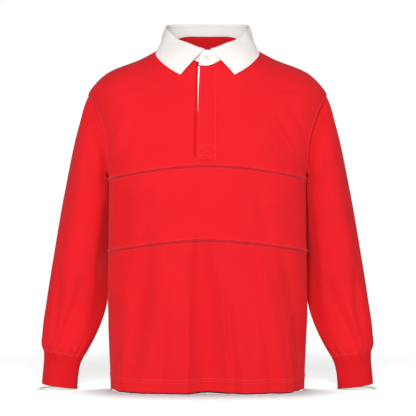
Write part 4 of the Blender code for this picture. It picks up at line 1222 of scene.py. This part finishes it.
def sleeve_points(side):
    """A sleeve's outer face as for the left arm. The two sides crease a little differently."""
    columns = 2 * ARMHOLE_ROWS
    around = np.linspace(0, 2 * math.pi, columns + 1)[:-1]
    start, start_normals, onward = armhole_ring()
    first = SLEEVE[0]
    lean = math.radians(first.lean)
    axis = np.array([math.sin(lean), 0.0, -math.cos(lean)])
    agreement = np.clip((1 + onward @ axis) / 2, 0, 1)[:, None]
    heading = axis + SHOULDER_FOLLOW * agreement * onward
    heading /= np.linalg.norm(heading, axis=1, keepdims=True)
    turn = (heading * onward).sum(axis=1, keepdims=True)
    tucked, flush = (1 + turn) / 2, (1 - turn) / 2
    start = start - start_normals * UNDER_EDGE_DEPTH * tucked - onward * UNDER_EDGE * tucked
    start = start + start_normals * SEAM_GAP * flush

    knots = np.array([0.0] + [ring.along for ring in SLEEVE])
    stops = np.stack([start] + [oval(ring, around) for ring in SLEEVE])
    steps = np.diff(knots)[:, None, None]
    slopes = np.diff(stops, axis=0) / steps
    tangents = np.zeros_like(stops)
    tangents[1:-1] = (slopes[:-1] * steps[1:] + slopes[1:] * steps[:-1]) / (steps[1:] + steps[:-1])
    tangents[0] = heading * np.linalg.norm(slopes[0], axis=1, keepdims=True)
    tangents[-1] = slopes[-1]
    rows = np.linspace(0, knots[-1], int(knots[-1] / SLEEVE_STEP))
    done = [hermite(knots, stops[:, c], tangents[:, c], rows) for c in range(columns)]
    points = np.stack(done, axis=1)

    normals = closed_normals(points)
    down = rows[:, None]
    for number, crease in enumerate(CREASES):
        sway = sleeve_sway(side, 2.3 * number + 0.4)
        along = np.clip((down - crease.top) / (crease.foot - crease.top), 0, 1)
        middle = np.radians(crease.angle + sway + (crease.foot_angle - crease.angle) * along)
        runs = np.sin(math.pi * along) ** CREASE_END_POWER
        moved = crease.depth * runs * bell(off_middle(around, middle) / crease.half_angle)
        points = points + normals * moved[..., None]
    from_cuff = rows[-1] - down
    for number, gather in enumerate(GATHERS):
        sway = sleeve_sway(side, 1.7 * number + 1.1)
        away = off_middle(around, np.radians(gather.angle + sway))
        grows = ease(from_cuff / GATHER_START) * bell(from_cuff / gather.length)
        moved = GATHER_FULLNESS * gather.depth * grows * bell(away / gather.half_angle)
        points = points + normals * moved[..., None]

    degrees = np.degrees(around)
    valley = ease(down / VALLEY_START) * np.exp(-down / VALLEY_LENGTH) * round_arm(degrees, VALLEYS)
    points = points - normals * (VALLEY_DEPTH * valley)[..., None]
    runs = ease((down - TUCK_TOP) / TUCK_GROWS) * ease((TUCK_FOOT - down) / TUCK_GROWS)
    points[..., 1] += TUCK_DEPTH * runs * round_arm(degrees, TUCKS)

    beside_body = points[..., 2] < SLEEVE_APART_Z
    nearest = torso_half_width(points[..., 1], points[..., 2]) + BODY_CLEARANCE
    beneath = bell((degrees - UNDERARM_DEGREES) / UNDERARM_SPREAD)
    touching = UNDERARM_TOUCH * beneath * bell((down - UNDERARM_DOWN) / UNDERARM_RANGE)
    clear = np.maximum(points[..., 0] - touching, nearest)
    points[..., 0] = np.where(beside_body, clear, points[..., 0])
    return points, start_normals


def tube_lengths(points):
    """Cut lengths round and down a closed grid."""
    ring = np.concatenate([points, points[:, :1]], axis=1)
    girth = lengths_along(ring, 1)
    share = np.linspace(0, 1, points.shape[1] + 1)[:-1]
    across = np.median(girth[:, -1]) * share[None] + np.zeros((len(points), 1))
    down = np.median(lengths_along(points, 0), axis=1)[:, None] + np.zeros((1, points.shape[1]))
    return across, down


def closed_run(points, normals):
    """A ring that ends where it starts."""
    return np.concatenate([points, points[:1]]), np.concatenate([normals, normals[:1]])


def make_sleeves(mat):
    for name, side in (("left", 1), ("right", -1)):
        points, start_normals = sleeve_points(side)
        normals = closed_normals(points)
        leaving = points[1] - points[0]
        ridge = (leaving * start_normals).sum(axis=1, keepdims=True) < 0
        normals[0] = np.where(ridge, start_normals, normals[0])
        mirror = np.array([side, 1, 1])
        outer, inner = points * mirror, (points - normals * BODY_WALL) * mirror
        across, down = tube_lengths(outer)
        piece = shell(f"sleeve_{name}_cloth", outer, inner, mat["red"], across, down, closed=True)
        facing = normals * mirror
        line = closed_run(outer[CUFF_STITCH_ROW], facing[CUFF_STITCH_ROW])
        seam = sewn(f"sleeve_{name}_cuff_stitching", [line], mat["thread"])
        declare(piece, f"sleeve_{name}")


def make_cuffs(mat):
    """Ribbed tubes, a little wavy, that go on from the sleeves."""
    columns = 2 * ARMHOLE_ROWS
    around = np.linspace(0, 2 * math.pi, columns + 1)[:-1]
    knots = [ring.along for ring in CUFF]
    rows = []
    for along in np.linspace(0, knots[-1], CUFF_ROWS):
        values = [float(smooth(knots, [getattr(r, f) for r in CUFF], along)) for f in Ring._fields[2:]]
        rows.append(oval(Ring("row", along, *values), around))
    points = np.stack(rows)
    normals = closed_normals(points)
    down = np.linspace(0, 1, CUFF_ROWS)[:, None]
    wave = sum(w.height * np.sin(w.waves * around + w.shift) for w in CUFF_WAVES)
    points = points + normals * (np.sin(math.pi * down) * wave)[..., None]
    normals = closed_normals(points)
    inner = points - normals * CUFF_WALL
    for name, side in (("left", 1), ("right", -1)):
        mirror = np.array([side, 1, 1])
        outer = points * mirror
        across, lengths = tube_lengths(outer)
        piece = shell(f"cuff_{name}_cloth", outer, inner * mirror, mat["rib"], across, lengths, closed=True)
        declare(piece, f"cuff_{name}")


def overlap_drop(x):
    """How far the overlap's top lies below the neck seam, more towards its free edge."""
    return OVERLAP_DROP * np.clip((STRIP_RIGHT_X - x) / (2 * STRIP_RIGHT_X), 0.0, 1.0)


def strip(name, left_x, right_x, levels, lift, wall, material, drops=False, settles=False):
    """A strip of cloth on the front, made from the front's own points, moved out by lift.

    One that settles comes down to the front along its sewn edge and at its foot.
    """
    rows = []
    full_lift, full_wall = lift, wall
    for level in levels:
        places = np.linspace(float(left_x(level)), float(right_x(level)), STRIP_COLUMNS)
        share = (level - levels[0]) / (levels[-1] - levels[0])
        if settles:
            sewn_edge = ease((SETTLE_X - places) / SETTLE_WIDTH)
            foot = ease((level - levels[0]) / SETTLE_DEPTH)
            raised = (sewn_edge * foot)[:, None]
            lift = SETTLED_LIFT + (full_lift - SETTLED_LIFT) * raised
            wall = full_wall * (SETTLED_WALL + (1 - SETTLED_WALL) * raised)
        row_levels = level - overlap_drop(places) * share * drops
        point, normal = torso_surface(row_levels, angle_at_x(row_levels, places))
        rows.append((point + normal * (lift + wall), point + normal * lift, normal))
    outer, inner, normals = (np.array([row[i] for row in rows]) for i in range(3))
    piece = shell(name, outer, inner, material, lengths_along(outer, 1), lengths_along(outer, 0))
    return piece, outer, normals


def strip_run(outer, normals, corners):
    """A line over a strip through corners given as (share across, share up)."""
    rows, columns = outer.shape[:2]
    points, ups = [], []
    for (u0, v0), (u1, v1) in zip(corners[:-1], corners[1:]):
        for t in np.linspace(0, 1, RUN_STATIONS):
            c, r = (u0 + (u1 - u0) * t) * (columns - 1), (v0 + (v1 - v0) * t) * (rows - 1)
            c0, r0 = min(int(c), columns - 2), min(int(r), rows - 2)
            fc, fr = c - c0, r - r0
            for block, into in ((outer, points), (normals, ups)):
                low = block[r0, c0] * (1 - fc) + block[r0, c0 + 1] * fc
                high = block[r0 + 1, c0] * (1 - fc) + block[r0 + 1, c0 + 1] * fc
                into.append(low * (1 - fr) + high * fr)
    return np.array(points), np.array(ups)


def make_placket(mat):
    top = LEVELS["neck"] - STRIP_TOP_GAP
    long_rows = np.linspace(UNDERARM_LEVEL, top, STRIP_ROWS)
    facing_rows = np.linspace(FACING_FOOT_LEVEL, top, STRIP_ROWS)
    facing_top = LAYER_GAP + FACING_WALL
    piece, outer, normals = strip(
        "placket_overlap_cloth", placket_edge("strip_x"), lambda _: STRIP_RIGHT_X, long_rows,
        facing_top + LAYER_GAP, STRIP_WALL, mat["red"], drops=True, settles=True)
    runs = [
        strip_run(outer, normals, [(run.from_across, run.from_up), (run.to_across, run.to_up)])
        for run in PLACKET_RUNS
    ]
    sewing = sewn("placket_stitching", runs, mat["thread"])
    declare(piece, "placket_overlap")
    piece, outer, normals = strip(
        "placket_facing_cloth", placket_edge("facing_x"), lambda _: FACING_INNER_X, facing_rows,
        LAYER_GAP, FACING_WALL, mat["white"], drops=True)
    declare(piece, "placket_facing")
    piece, outer, normals = strip(
        "placket_underlap_cloth", lambda _: -UNDERLAP_X, lambda _: UNDERLAP_X, long_rows,
        -2 * BODY_WALL - LAYER_GAP - GROOVE_DEPTH, BODY_WALL, mat["red"])
    declare(piece, "placket_underlap")


def neck_angle(x):
    """The torso's angle at the neck for a place across."""
    return float(angle_at_x(LEVELS["neck"], x))


def fold_ring(angle):
    """The collar's fold line, at angles round the neck."""
    cosine = np.cos(angle)
    power = 2 / np.where(cosine > 0, FOLD_FRONT_SQUARENESS, FOLD_BACK_SQUARENESS)
    depth = np.where(cosine > 0, FOLD_FRONT_DEPTH, FOLD_BACK_DEPTH)
    x = FOLD_HALF_WIDTH * signed_power(np.sin(angle), power)
    y = FOLD_CENTRE_Y - depth * signed_power(cosine, power)
    z = smooth([h.y for h in FOLD_HEIGHTS], [h.z for h in FOLD_HEIGHTS], y)
    return np.stack([x, y, z], axis=-1)


def roll_height(turn):
    """How far the collar's roll stands over the stand's top, lower at the front ends."""
    from_front = np.minimum(np.abs(turn), np.abs(2 * math.pi - turn))
    share = np.clip(from_front / ROLL_FULL_ANGLE, 0, 1)
    return ROLL_HEIGHT_AT_ENDS + (ROLL_HEIGHT - ROLL_HEIGHT_AT_ENDS) * share


def level_outward(points):
    """Level directions out of a line that runs round the neck."""
    along = np.gradient(points, axis=0)
    outward = np.stack([along[:, 1], -along[:, 0], np.zeros(len(points))], axis=1)
    return outward / np.linalg.norm(outward, axis=1, keepdims=True)


def finer(values, times):
    """The values with times - 1 more between each pair."""
    places = np.arange(len(values))
    fine = np.linspace(0, len(values) - 1, (len(values) - 1) * times + 1)
    return np.interp(fine, places, values)


def stand_turns():
    """Angles of the stand's columns in the solid."""
    neck = LEVELS["neck"]
    front = row_angles(neck, 0.0, SIDE, CAD_COLUMNS, (0.0, neck_angle(SLIT_HALF_WIDTH)))[1:-1]
    back = row_angles(neck, math.pi, SIDE, CAD_COLUMNS)[-2::-1]
    crossing = [neck_angle(x) for x in STAND_CROSSING_X]
    half = np.concatenate([crossing, front, [SIDE], back])
    return np.concatenate([half, 2 * math.pi - half[-2::-1]])


def stand_rows(turn):
    """The stand's foot, its top and the direction out of it, at angles round the neck."""
    plain = ring_point(LEVELS["neck"], turn)
    drop = np.where(turn < STAND_STEP_REACH, overlap_drop(plain[:, 0]), 0.0)
    level = LEVELS["neck"] - drop
    foot, _ = torso_surface(level, np.where(drop > 0, angle_at_x(level, plain[:, 0]), turn))
    head = fold_ring(turn)
    head[:, 2] -= roll_height(turn)
    outward = level_outward(plain)
    fading = STAND_STEP_REACH - abs(turn[0])
    over = np.clip((STAND_STEP_REACH - turn) / fading, 0, 1)
    under = np.clip((STAND_STEP_REACH - 2 * math.pi + turn) / fading, 0, 1)
    step = (over - under)[:, None] * STAND_STEP
    foot = foot + outward * step + [0, 0, LAYER_GAP]
    head = head + outward * step
    from_end = np.where(turn < math.pi, foot[:, 0] - foot[0, 0], STAND_CORNER)
    short = STAND_CORNER - np.clip(from_end, STAND_CORNER_START, STAND_CORNER)
    head[:, 2] -= STAND_CORNER - np.sqrt(STAND_CORNER**2 - short**2)
    return foot, head, outward


def make_stand(mat):
    turn = finer(stand_turns(), COLLAR_FINENESS)
    foot, head, outward = stand_rows(turn)
    shares = np.linspace(0, 1, STAND_ROWS)[:, None, None]
    points = foot * (1 - shares) + head * shares
    half = outward * COLLAR_WALL / 2
    outer, inner = points + half, points - half
    across, down = lengths_along(outer, 1), lengths_along(outer, 0)
    piece = shell("collar_stand_cloth", outer, inner, mat["white"], across, down)
    away = outward[None] + np.zeros_like(points)
    runs = [
        stand_run(outer, away, STAND_STITCHES),
        stand_run(inner, -away, STAND_STITCHES),
        stand_run(inner, -away, STAND_FOOT_STITCHES),
    ]
    front = slice(0, STAND_EDGE_COLUMNS * COLLAR_FINENESS)
    runs.append(stand_run(outer[::-1, front], away[::-1, front], STAND_EDGE_STITCHES))
    end_points, end_normals = edge_inset(outer, away, STAND_EDGE_STITCHES, 0)
    runs.append((end_points[2:-3], end_normals[2:-3]))
    sewing = sewn("collar_stand_stitching", runs, mat["white_thread"])
    declare(piece, "collar_stand")


def stand_run(points, normals, height, inset=STAND_EDGE_STITCHES):
    """A line along the stand at a height above its first row, short of both ends."""
    up = lengths_along(points, 0)
    columns = range(points.shape[1])
    line = np.array([[np.interp(height, up[:, c], points[:, c, k]) for k in range(3)] for c in columns])
    from_start = length_on(line)
    keep = (from_start > inset) & (from_start < from_start[-1] - inset)
    return line[keep], normals[0][keep]


def spline_rows(points, times):
    """The grid with times - 1 more rows between each pair, on a smooth curve through each column."""
    rows = len(points)
    fine = np.linspace(0, rows - 1, (rows - 1) * times + 1)
    tangents = np.gradient(points, axis=0)
    knots = np.arange(rows, dtype=float)
    done = [hermite(knots, points[:, c], tangents[:, c], fine) for c in range(points.shape[1])]
    return np.stack(done, axis=1)


def leaf_points():
    """The collar leaf's middle surface and the direction out of the shirt under its edge."""
    first = STAND_CROSSING_X.index(LEAF_START_X)
    fold_turn = finer(stand_turns()[first:-first], COLLAR_FINENESS)
    fold_half = fold_turn[: len(fold_turn) // 2 + 1]
    tip = math.radians(LEAF_EDGE[0].angle)
    share = (fold_half - fold_half[0]) / (math.pi - fold_half[0])
    edge_half = tip + (math.pi - tip) * share
    edge_angles = [math.radians(e.angle) for e in LEAF_EDGE]
    level_half = smooth(edge_angles, [e.level for e in LEAF_EDGE], edge_half)
    edge_turn = np.concatenate([edge_half, 2 * math.pi - edge_half[-2::-1]])
    edge_level = np.concatenate([level_half, level_half[-2::-1]])
    fold = fold_ring(fold_turn)
    outward = level_outward(fold)
    up = np.array([0.0, 0.0, 1.0])
    tall = roll_height(fold_turn)[:, None]

    rest, rest_normal = torso_surface(edge_level, edge_turn)
    edge = rest + rest_normal * (LEAF_REST + COLLAR_WALL / 2)
    roll = [fold - up * (tall - LAYER_GAP)]
    for place in ROLL:
        roll.append(fold + outward * ROLL_DEPTH * place.out - up * tall * place.down)
    shoulder = roll[-1]
    middle = (shoulder + edge) / 2 + (outward + rest_normal) * LEAF_BULGE
    fall = []
    for t in np.linspace(0, 1, LEAF_DROP_ROWS + 1)[1:]:
        fall.append(shoulder * (1 - t) ** 2 + middle * 2 * t * (1 - t) + edge * t**2)
    return spline_rows(np.stack(roll + fall), LEAF_ROW_FINENESS), rest_normal


def make_leaf(mat):
    points, rest_normal = leaf_points()
    normal = open_normals(points, rest_normal[None] + np.zeros_like(points))
    last = np.sign((normal[-1] * rest_normal).sum(axis=1).mean())
    from_foot = lengths_along(points[::-1], 0)[::-1]
    from_start, from_end = lengths_along(points, 1), lengths_along(points[:, ::-1], 1)[:, ::-1]
    inside_edge = np.minimum(np.minimum(from_start, from_end), from_foot) - LEAF_STITCH
    sunk = LEAF_GROOVE * np.exp(-((inside_edge / LEAF_GROOVE_HALF_WIDTH) ** 2))
    points = points - normal * last * sunk[..., None]
    half = normal * last * COLLAR_WALL / 2
    outer, inner = points + half, points - half
    across, down = lengths_along(outer, 1), lengths_along(outer, 0)
    piece = shell("collar_leaf_cloth", outer, inner, mat["white"], across, down)
    facing = normal * last
    lower_lengths = lengths_along(outer[::-1], 0)
    lower = np.array([
        [[np.interp(LEAF_STITCH, lower_lengths[:, c], block[::-1, c, k]) for k in range(3)]
         for block in (outer, facing)]
        for c in range(outer.shape[1])
    ])
    length = length_on(lower[:, 0])
    keep = (length > LEAF_STITCH) & (length < length[-1] - LEAF_STITCH)
    runs = [(lower[keep, 0], lower[keep, 1])]
    fall = slice(LEAF_STITCH_ROW * LEAF_ROW_FINENESS, None)
    for edge in (0, -1):
        line, ups = edge_inset(outer[fall], facing[fall], LEAF_STITCH, edge)
        down_it = length_on(line)
        short = down_it < down_it[-1] - LEAF_STITCH
        runs.append((line[short], ups[short]))
    sewing = sewn("collar_leaf_stitching", runs, mat["white_thread"])
    declare(piece, "collar_leaf")


def make_button(mat):
    """A dished four-hole button sewn to the stand's overlapping end."""
    turn = stand_turns()
    foot, head, outward = stand_rows(turn)
    column = STAND_CROSSING_X.index(BUTTON_X)
    middle = foot[column] * (1 - BUTTON_HEIGHT_SHARE) + head[column] * BUTTON_HEIGHT_SHARE
    rise = head[column] - foot[column]
    across = np.cross(rise, outward[column])
    facing = Vector(np.cross(across, rise)).normalized()
    lift = COLLAR_WALL / 2 + BUTTON_CLEARANCE + BUTTON_THICKNESS / 2
    turned = facing.to_track_quat("Z", "Y").to_matrix().to_4x4()
    place = Matrix.Translation(Vector(middle) + facing * lift) @ turned

    top = BUTTON_THICKNESS / 2
    profile = [(p.share, top - p.below) for p in BUTTON_FACE]
    profile += [(p.share, p.below - top) for p in BUTTON_UNDERSIDE]
    sides = BUTTON_SIDES
    around = np.linspace(0, 2 * math.pi, sides + 1)[:-1]
    points = [
        (share * BUTTON_RADIUS * math.cos(a), share * BUTTON_RADIUS * math.sin(a), height)
        for share, height in profile for a in around
    ]
    rings = len(profile)
    faces = [
        (r * sides + s, (r + 1) * sides + s, (r + 1) * sides + (s + 1) % sides, r * sides + (s + 1) % sides)
        for r in range(rings - 1) for s in range(sides)
    ]
    faces.append(tuple(range(sides)))
    faces.append(tuple(range((rings - 1) * sides, rings * sides))[::-1])
    data = bpy.data.meshes.new("button_body")
    data.from_pydata(points, [], faces)
    body = bpy.data.objects.new("button_body", data)
    bpy.context.scene.collection.objects.link(body)
    cutters = []
    for i in range(4):
        a = math.radians(45 + 90 * i)
        bpy.ops.mesh.primitive_cylinder_add(
            vertices=20, radius=BUTTON_HOLE_RADIUS, depth=0.01,
            location=(BUTTON_HOLE_PITCH * math.cos(a), BUTTON_HOLE_PITCH * math.sin(a), 0))
        cutter = bpy.context.object
        cutters.append(cutter)
        cut = body.modifiers.new(f"hole_{i + 1}", "BOOLEAN")
        cut.operation, cut.object, cut.solver = "DIFFERENCE", cutter, "EXACT"
    bpy.context.view_layer.update()
    solid = bpy.data.meshes.new_from_object(body.evaluated_get(bpy.context.evaluated_depsgraph_get()))
    bpy.data.objects.remove(body)
    for cutter in cutters:
        bpy.data.objects.remove(cutter)
    solid.transform(place)
    solid.shade_smooth()
    solid.set_sharp_from_angle(angle=math.radians(50))
    solid.materials.clear()
    solid.materials.append(mat["button"])
    button = bpy.data.objects.new("button_moulded", solid)
    bpy.context.scene.collection.objects.link(button)
    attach(button, "root")
    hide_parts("button")

    runs = []
    matrix = np.array(place)
    reach = BUTTON_HOLE_PITCH * math.sin(math.radians(45))
    for x in (-reach, reach):
        for shift in (-BUTTON_THREAD_HALF_GAP, BUTTON_THREAD_HALF_GAP):
            line = np.array([
                [x + shift, y, top - BUTTON_THREAD_SUNK] for y in np.linspace(-reach, reach, 12)
            ])
            world = line @ matrix[:3, :3].T + matrix[:3, 3]
            runs.append((world, np.array(facing)[None] + np.zeros_like(world)))
    sewn("button_thread", runs, mat["white_thread"], THREAD * 0.9, 1.0, 1.0)


def make_camera():
    """A level camera in front, at the photo's distance."""
    data = bpy.data.cameras.new("photo_camera")
    data.lens, data.sensor_width, data.shift_x = CAMERA_LENS, 36.0, CAMERA_SHIFT
    camera = bpy.data.objects.new("photo_camera", data)
    camera.location = CAMERA_PLACE
    camera.rotation_euler = (math.pi / 2, 0, 0)
    bpy.context.scene.collection.objects.link(camera)
    bpy.context.scene.camera = camera


def area_light(lamp):
    data = bpy.data.lights.new(lamp.name, "AREA")
    data.shape = "RECTANGLE"
    data.size, data.size_y = lamp.width, lamp.height
    data.energy = lamp.power
    light = bpy.data.objects.new(lamp.name, data)
    place = Vector((lamp.x, lamp.y, lamp.z))
    light.location = place
    light.rotation_mode = "QUATERNION"
    light.rotation_quaternion = (Vector((0, 0, lamp.aim_z)) - place).to_track_quat("-Z", "Y")
    bpy.context.scene.collection.objects.link(light)
    return light


def make_world():
    world = bpy.data.worlds.new("studio")
    world.use_nodes = True
    tree = world.node_tree
    tree.nodes.clear()
    seen = node(tree, "ShaderNodeBackground", WHITE_SEEN, 1.0)
    lit = node(tree, "ShaderNodeBackground", WORLD_COLOUR, WORLD_LIGHT)
    path = node(tree, "ShaderNodeLightPath")
    mix = node(tree, "ShaderNodeMixShader", path.outputs["Is Camera Ray"], lit.outputs[0], seen.outputs[0])
    out = node(tree, "ShaderNodeOutputWorld")
    tree.links.new(mix.outputs[0], out.inputs["Surface"])
    bpy.context.scene.world = world


def floor_material():
    """Pale matte floor that fades out towards its rim."""
    material, tree, shader = nodes_of("floor_white")
    shader.inputs["Base Color"].default_value = FLOOR_COLOUR
    shader.inputs["Roughness"].default_value = 0.7
    shader.inputs["Specular IOR Level"].default_value = 0.2
    shader.inputs["Emission Color"].default_value = WHITE_SEEN
    shader.inputs["Emission Strength"].default_value = FLOOR_GLOW
    place = node(tree, "ShaderNodeTexCoord").outputs["Object"]
    away = node(tree, "ShaderNodeVectorMath", place, operation="LENGTH").outputs["Value"]
    clear = node(tree, "ShaderNodeBsdfTransparent")
    fade = spread_of(tree, away, FLOOR_FADE, FLOOR_RADIUS)
    both = node(tree, "ShaderNodeMixShader", fade, shader.outputs[0], clear.outputs[0])
    tree.links.new(both.outputs[0], tree.nodes["Material Output"].inputs["Surface"])
    return material


def floor_part(name, points, faces, material):
    data = bpy.data.meshes.new(name)
    data.from_pydata(points, [], faces)
    data.materials.append(material)
    floor = bpy.data.objects.new(name, data)
    floor.location.z = FLOOR_Z
    floor.visible_diffuse = False
    bpy.context.scene.collection.objects.link(floor)
    return floor


def make_floor():
    """The lit floor round the shirt and the part under it, which no lamp lights."""
    material = floor_material()
    around = np.linspace(0, 2 * math.pi, FLOOR_SIDES + 1)[:-1]
    hem, outwards = torso_surface(0.0, around)
    inside = (hem - outwards * UNDER_HEM)[:, :2]
    rim = FLOOR_RADIUS * np.stack([np.sin(around), -np.cos(around)], axis=1)
    flat = np.pad(np.concatenate([inside, rim]), ((0, 0), (0, 1))).tolist()
    here = range(FLOOR_SIDES)
    ring = [(i, i + FLOOR_SIDES, (i + 1) % FLOOR_SIDES + FLOOR_SIDES, (i + 1) % FLOOR_SIDES) for i in here]
    lit = floor_part("studio_floor", flat, ring, material)
    unlit = floor_part("studio_floor_under_shirt", flat[:FLOOR_SIDES], [tuple(here)], material)
    return lit, unlit


def make_studio():
    """World, lamps and floor. Returns the lamp above the shirt, whose shadows fall on the floor."""
    make_world()
    lit, unlit = make_floor()
    lit_floor = bpy.data.collections.new("lit_by_floor_lights")
    lit_floor.objects.link(lit)
    not_floor = bpy.data.collections.new("not_lit_by_others")
    for floor in (lit, unlit):
        not_floor.objects.link(floor)
        not_floor.collection_objects[-1].light_linking.link_state = "EXCLUDE"
    for lamp in SHIRT_LAMPS:
        area_light(lamp).light_linking.receiver_collection = not_floor
    over_floor, front_floor = [area_light(lamp) for lamp in FLOOR_LAMPS]
    for light in (over_floor, front_floor):
        light.light_linking.receiver_collection = lit_floor
    bpy.context.scene.view_settings.view_transform = "Standard"
    return over_floor


def main():
    make_camera()
    over_floor = make_studio()
    mat = {
        "red": jersey("red_jersey", RED, RED_DEEP),
        "rib": rib("red_rib", CUFF_RED, darker(CUFF_RED, 0.8)),
        "white": twill("white_twill", WHITE, WHITE_WARM),
        # red thread lighter than the cloth: partly its own colour, partly a painted highlight along the
        # seams
        "thread": thread("red_thread", THREAD_RED_AND_HIGHLIGHT),
        "band_thread": thread("band_thread", BAND_RED),
        # white thread greyer than the cloth: partly off-white, partly painted shade along the stitch lines
        "white_thread": thread("white_thread", THREAD_WHITE_AND_SHADE),
        "button": button_plastic("button_white", BUTTON_WHITE),
    }
    make_body(mat)
    make_sleeves(mat)
    make_cuffs(mat)
    make_placket(mat)
    make_stand(mat)
    make_leaf(mat)
    make_button(mat)
    shading = bpy.data.collections.new("shades_the_floor")
    for name in FLOOR_SHADOWS:
        shading.objects.link(bpy.data.objects[name])
    over_floor.light_linking.blocker_collection = shading


main()
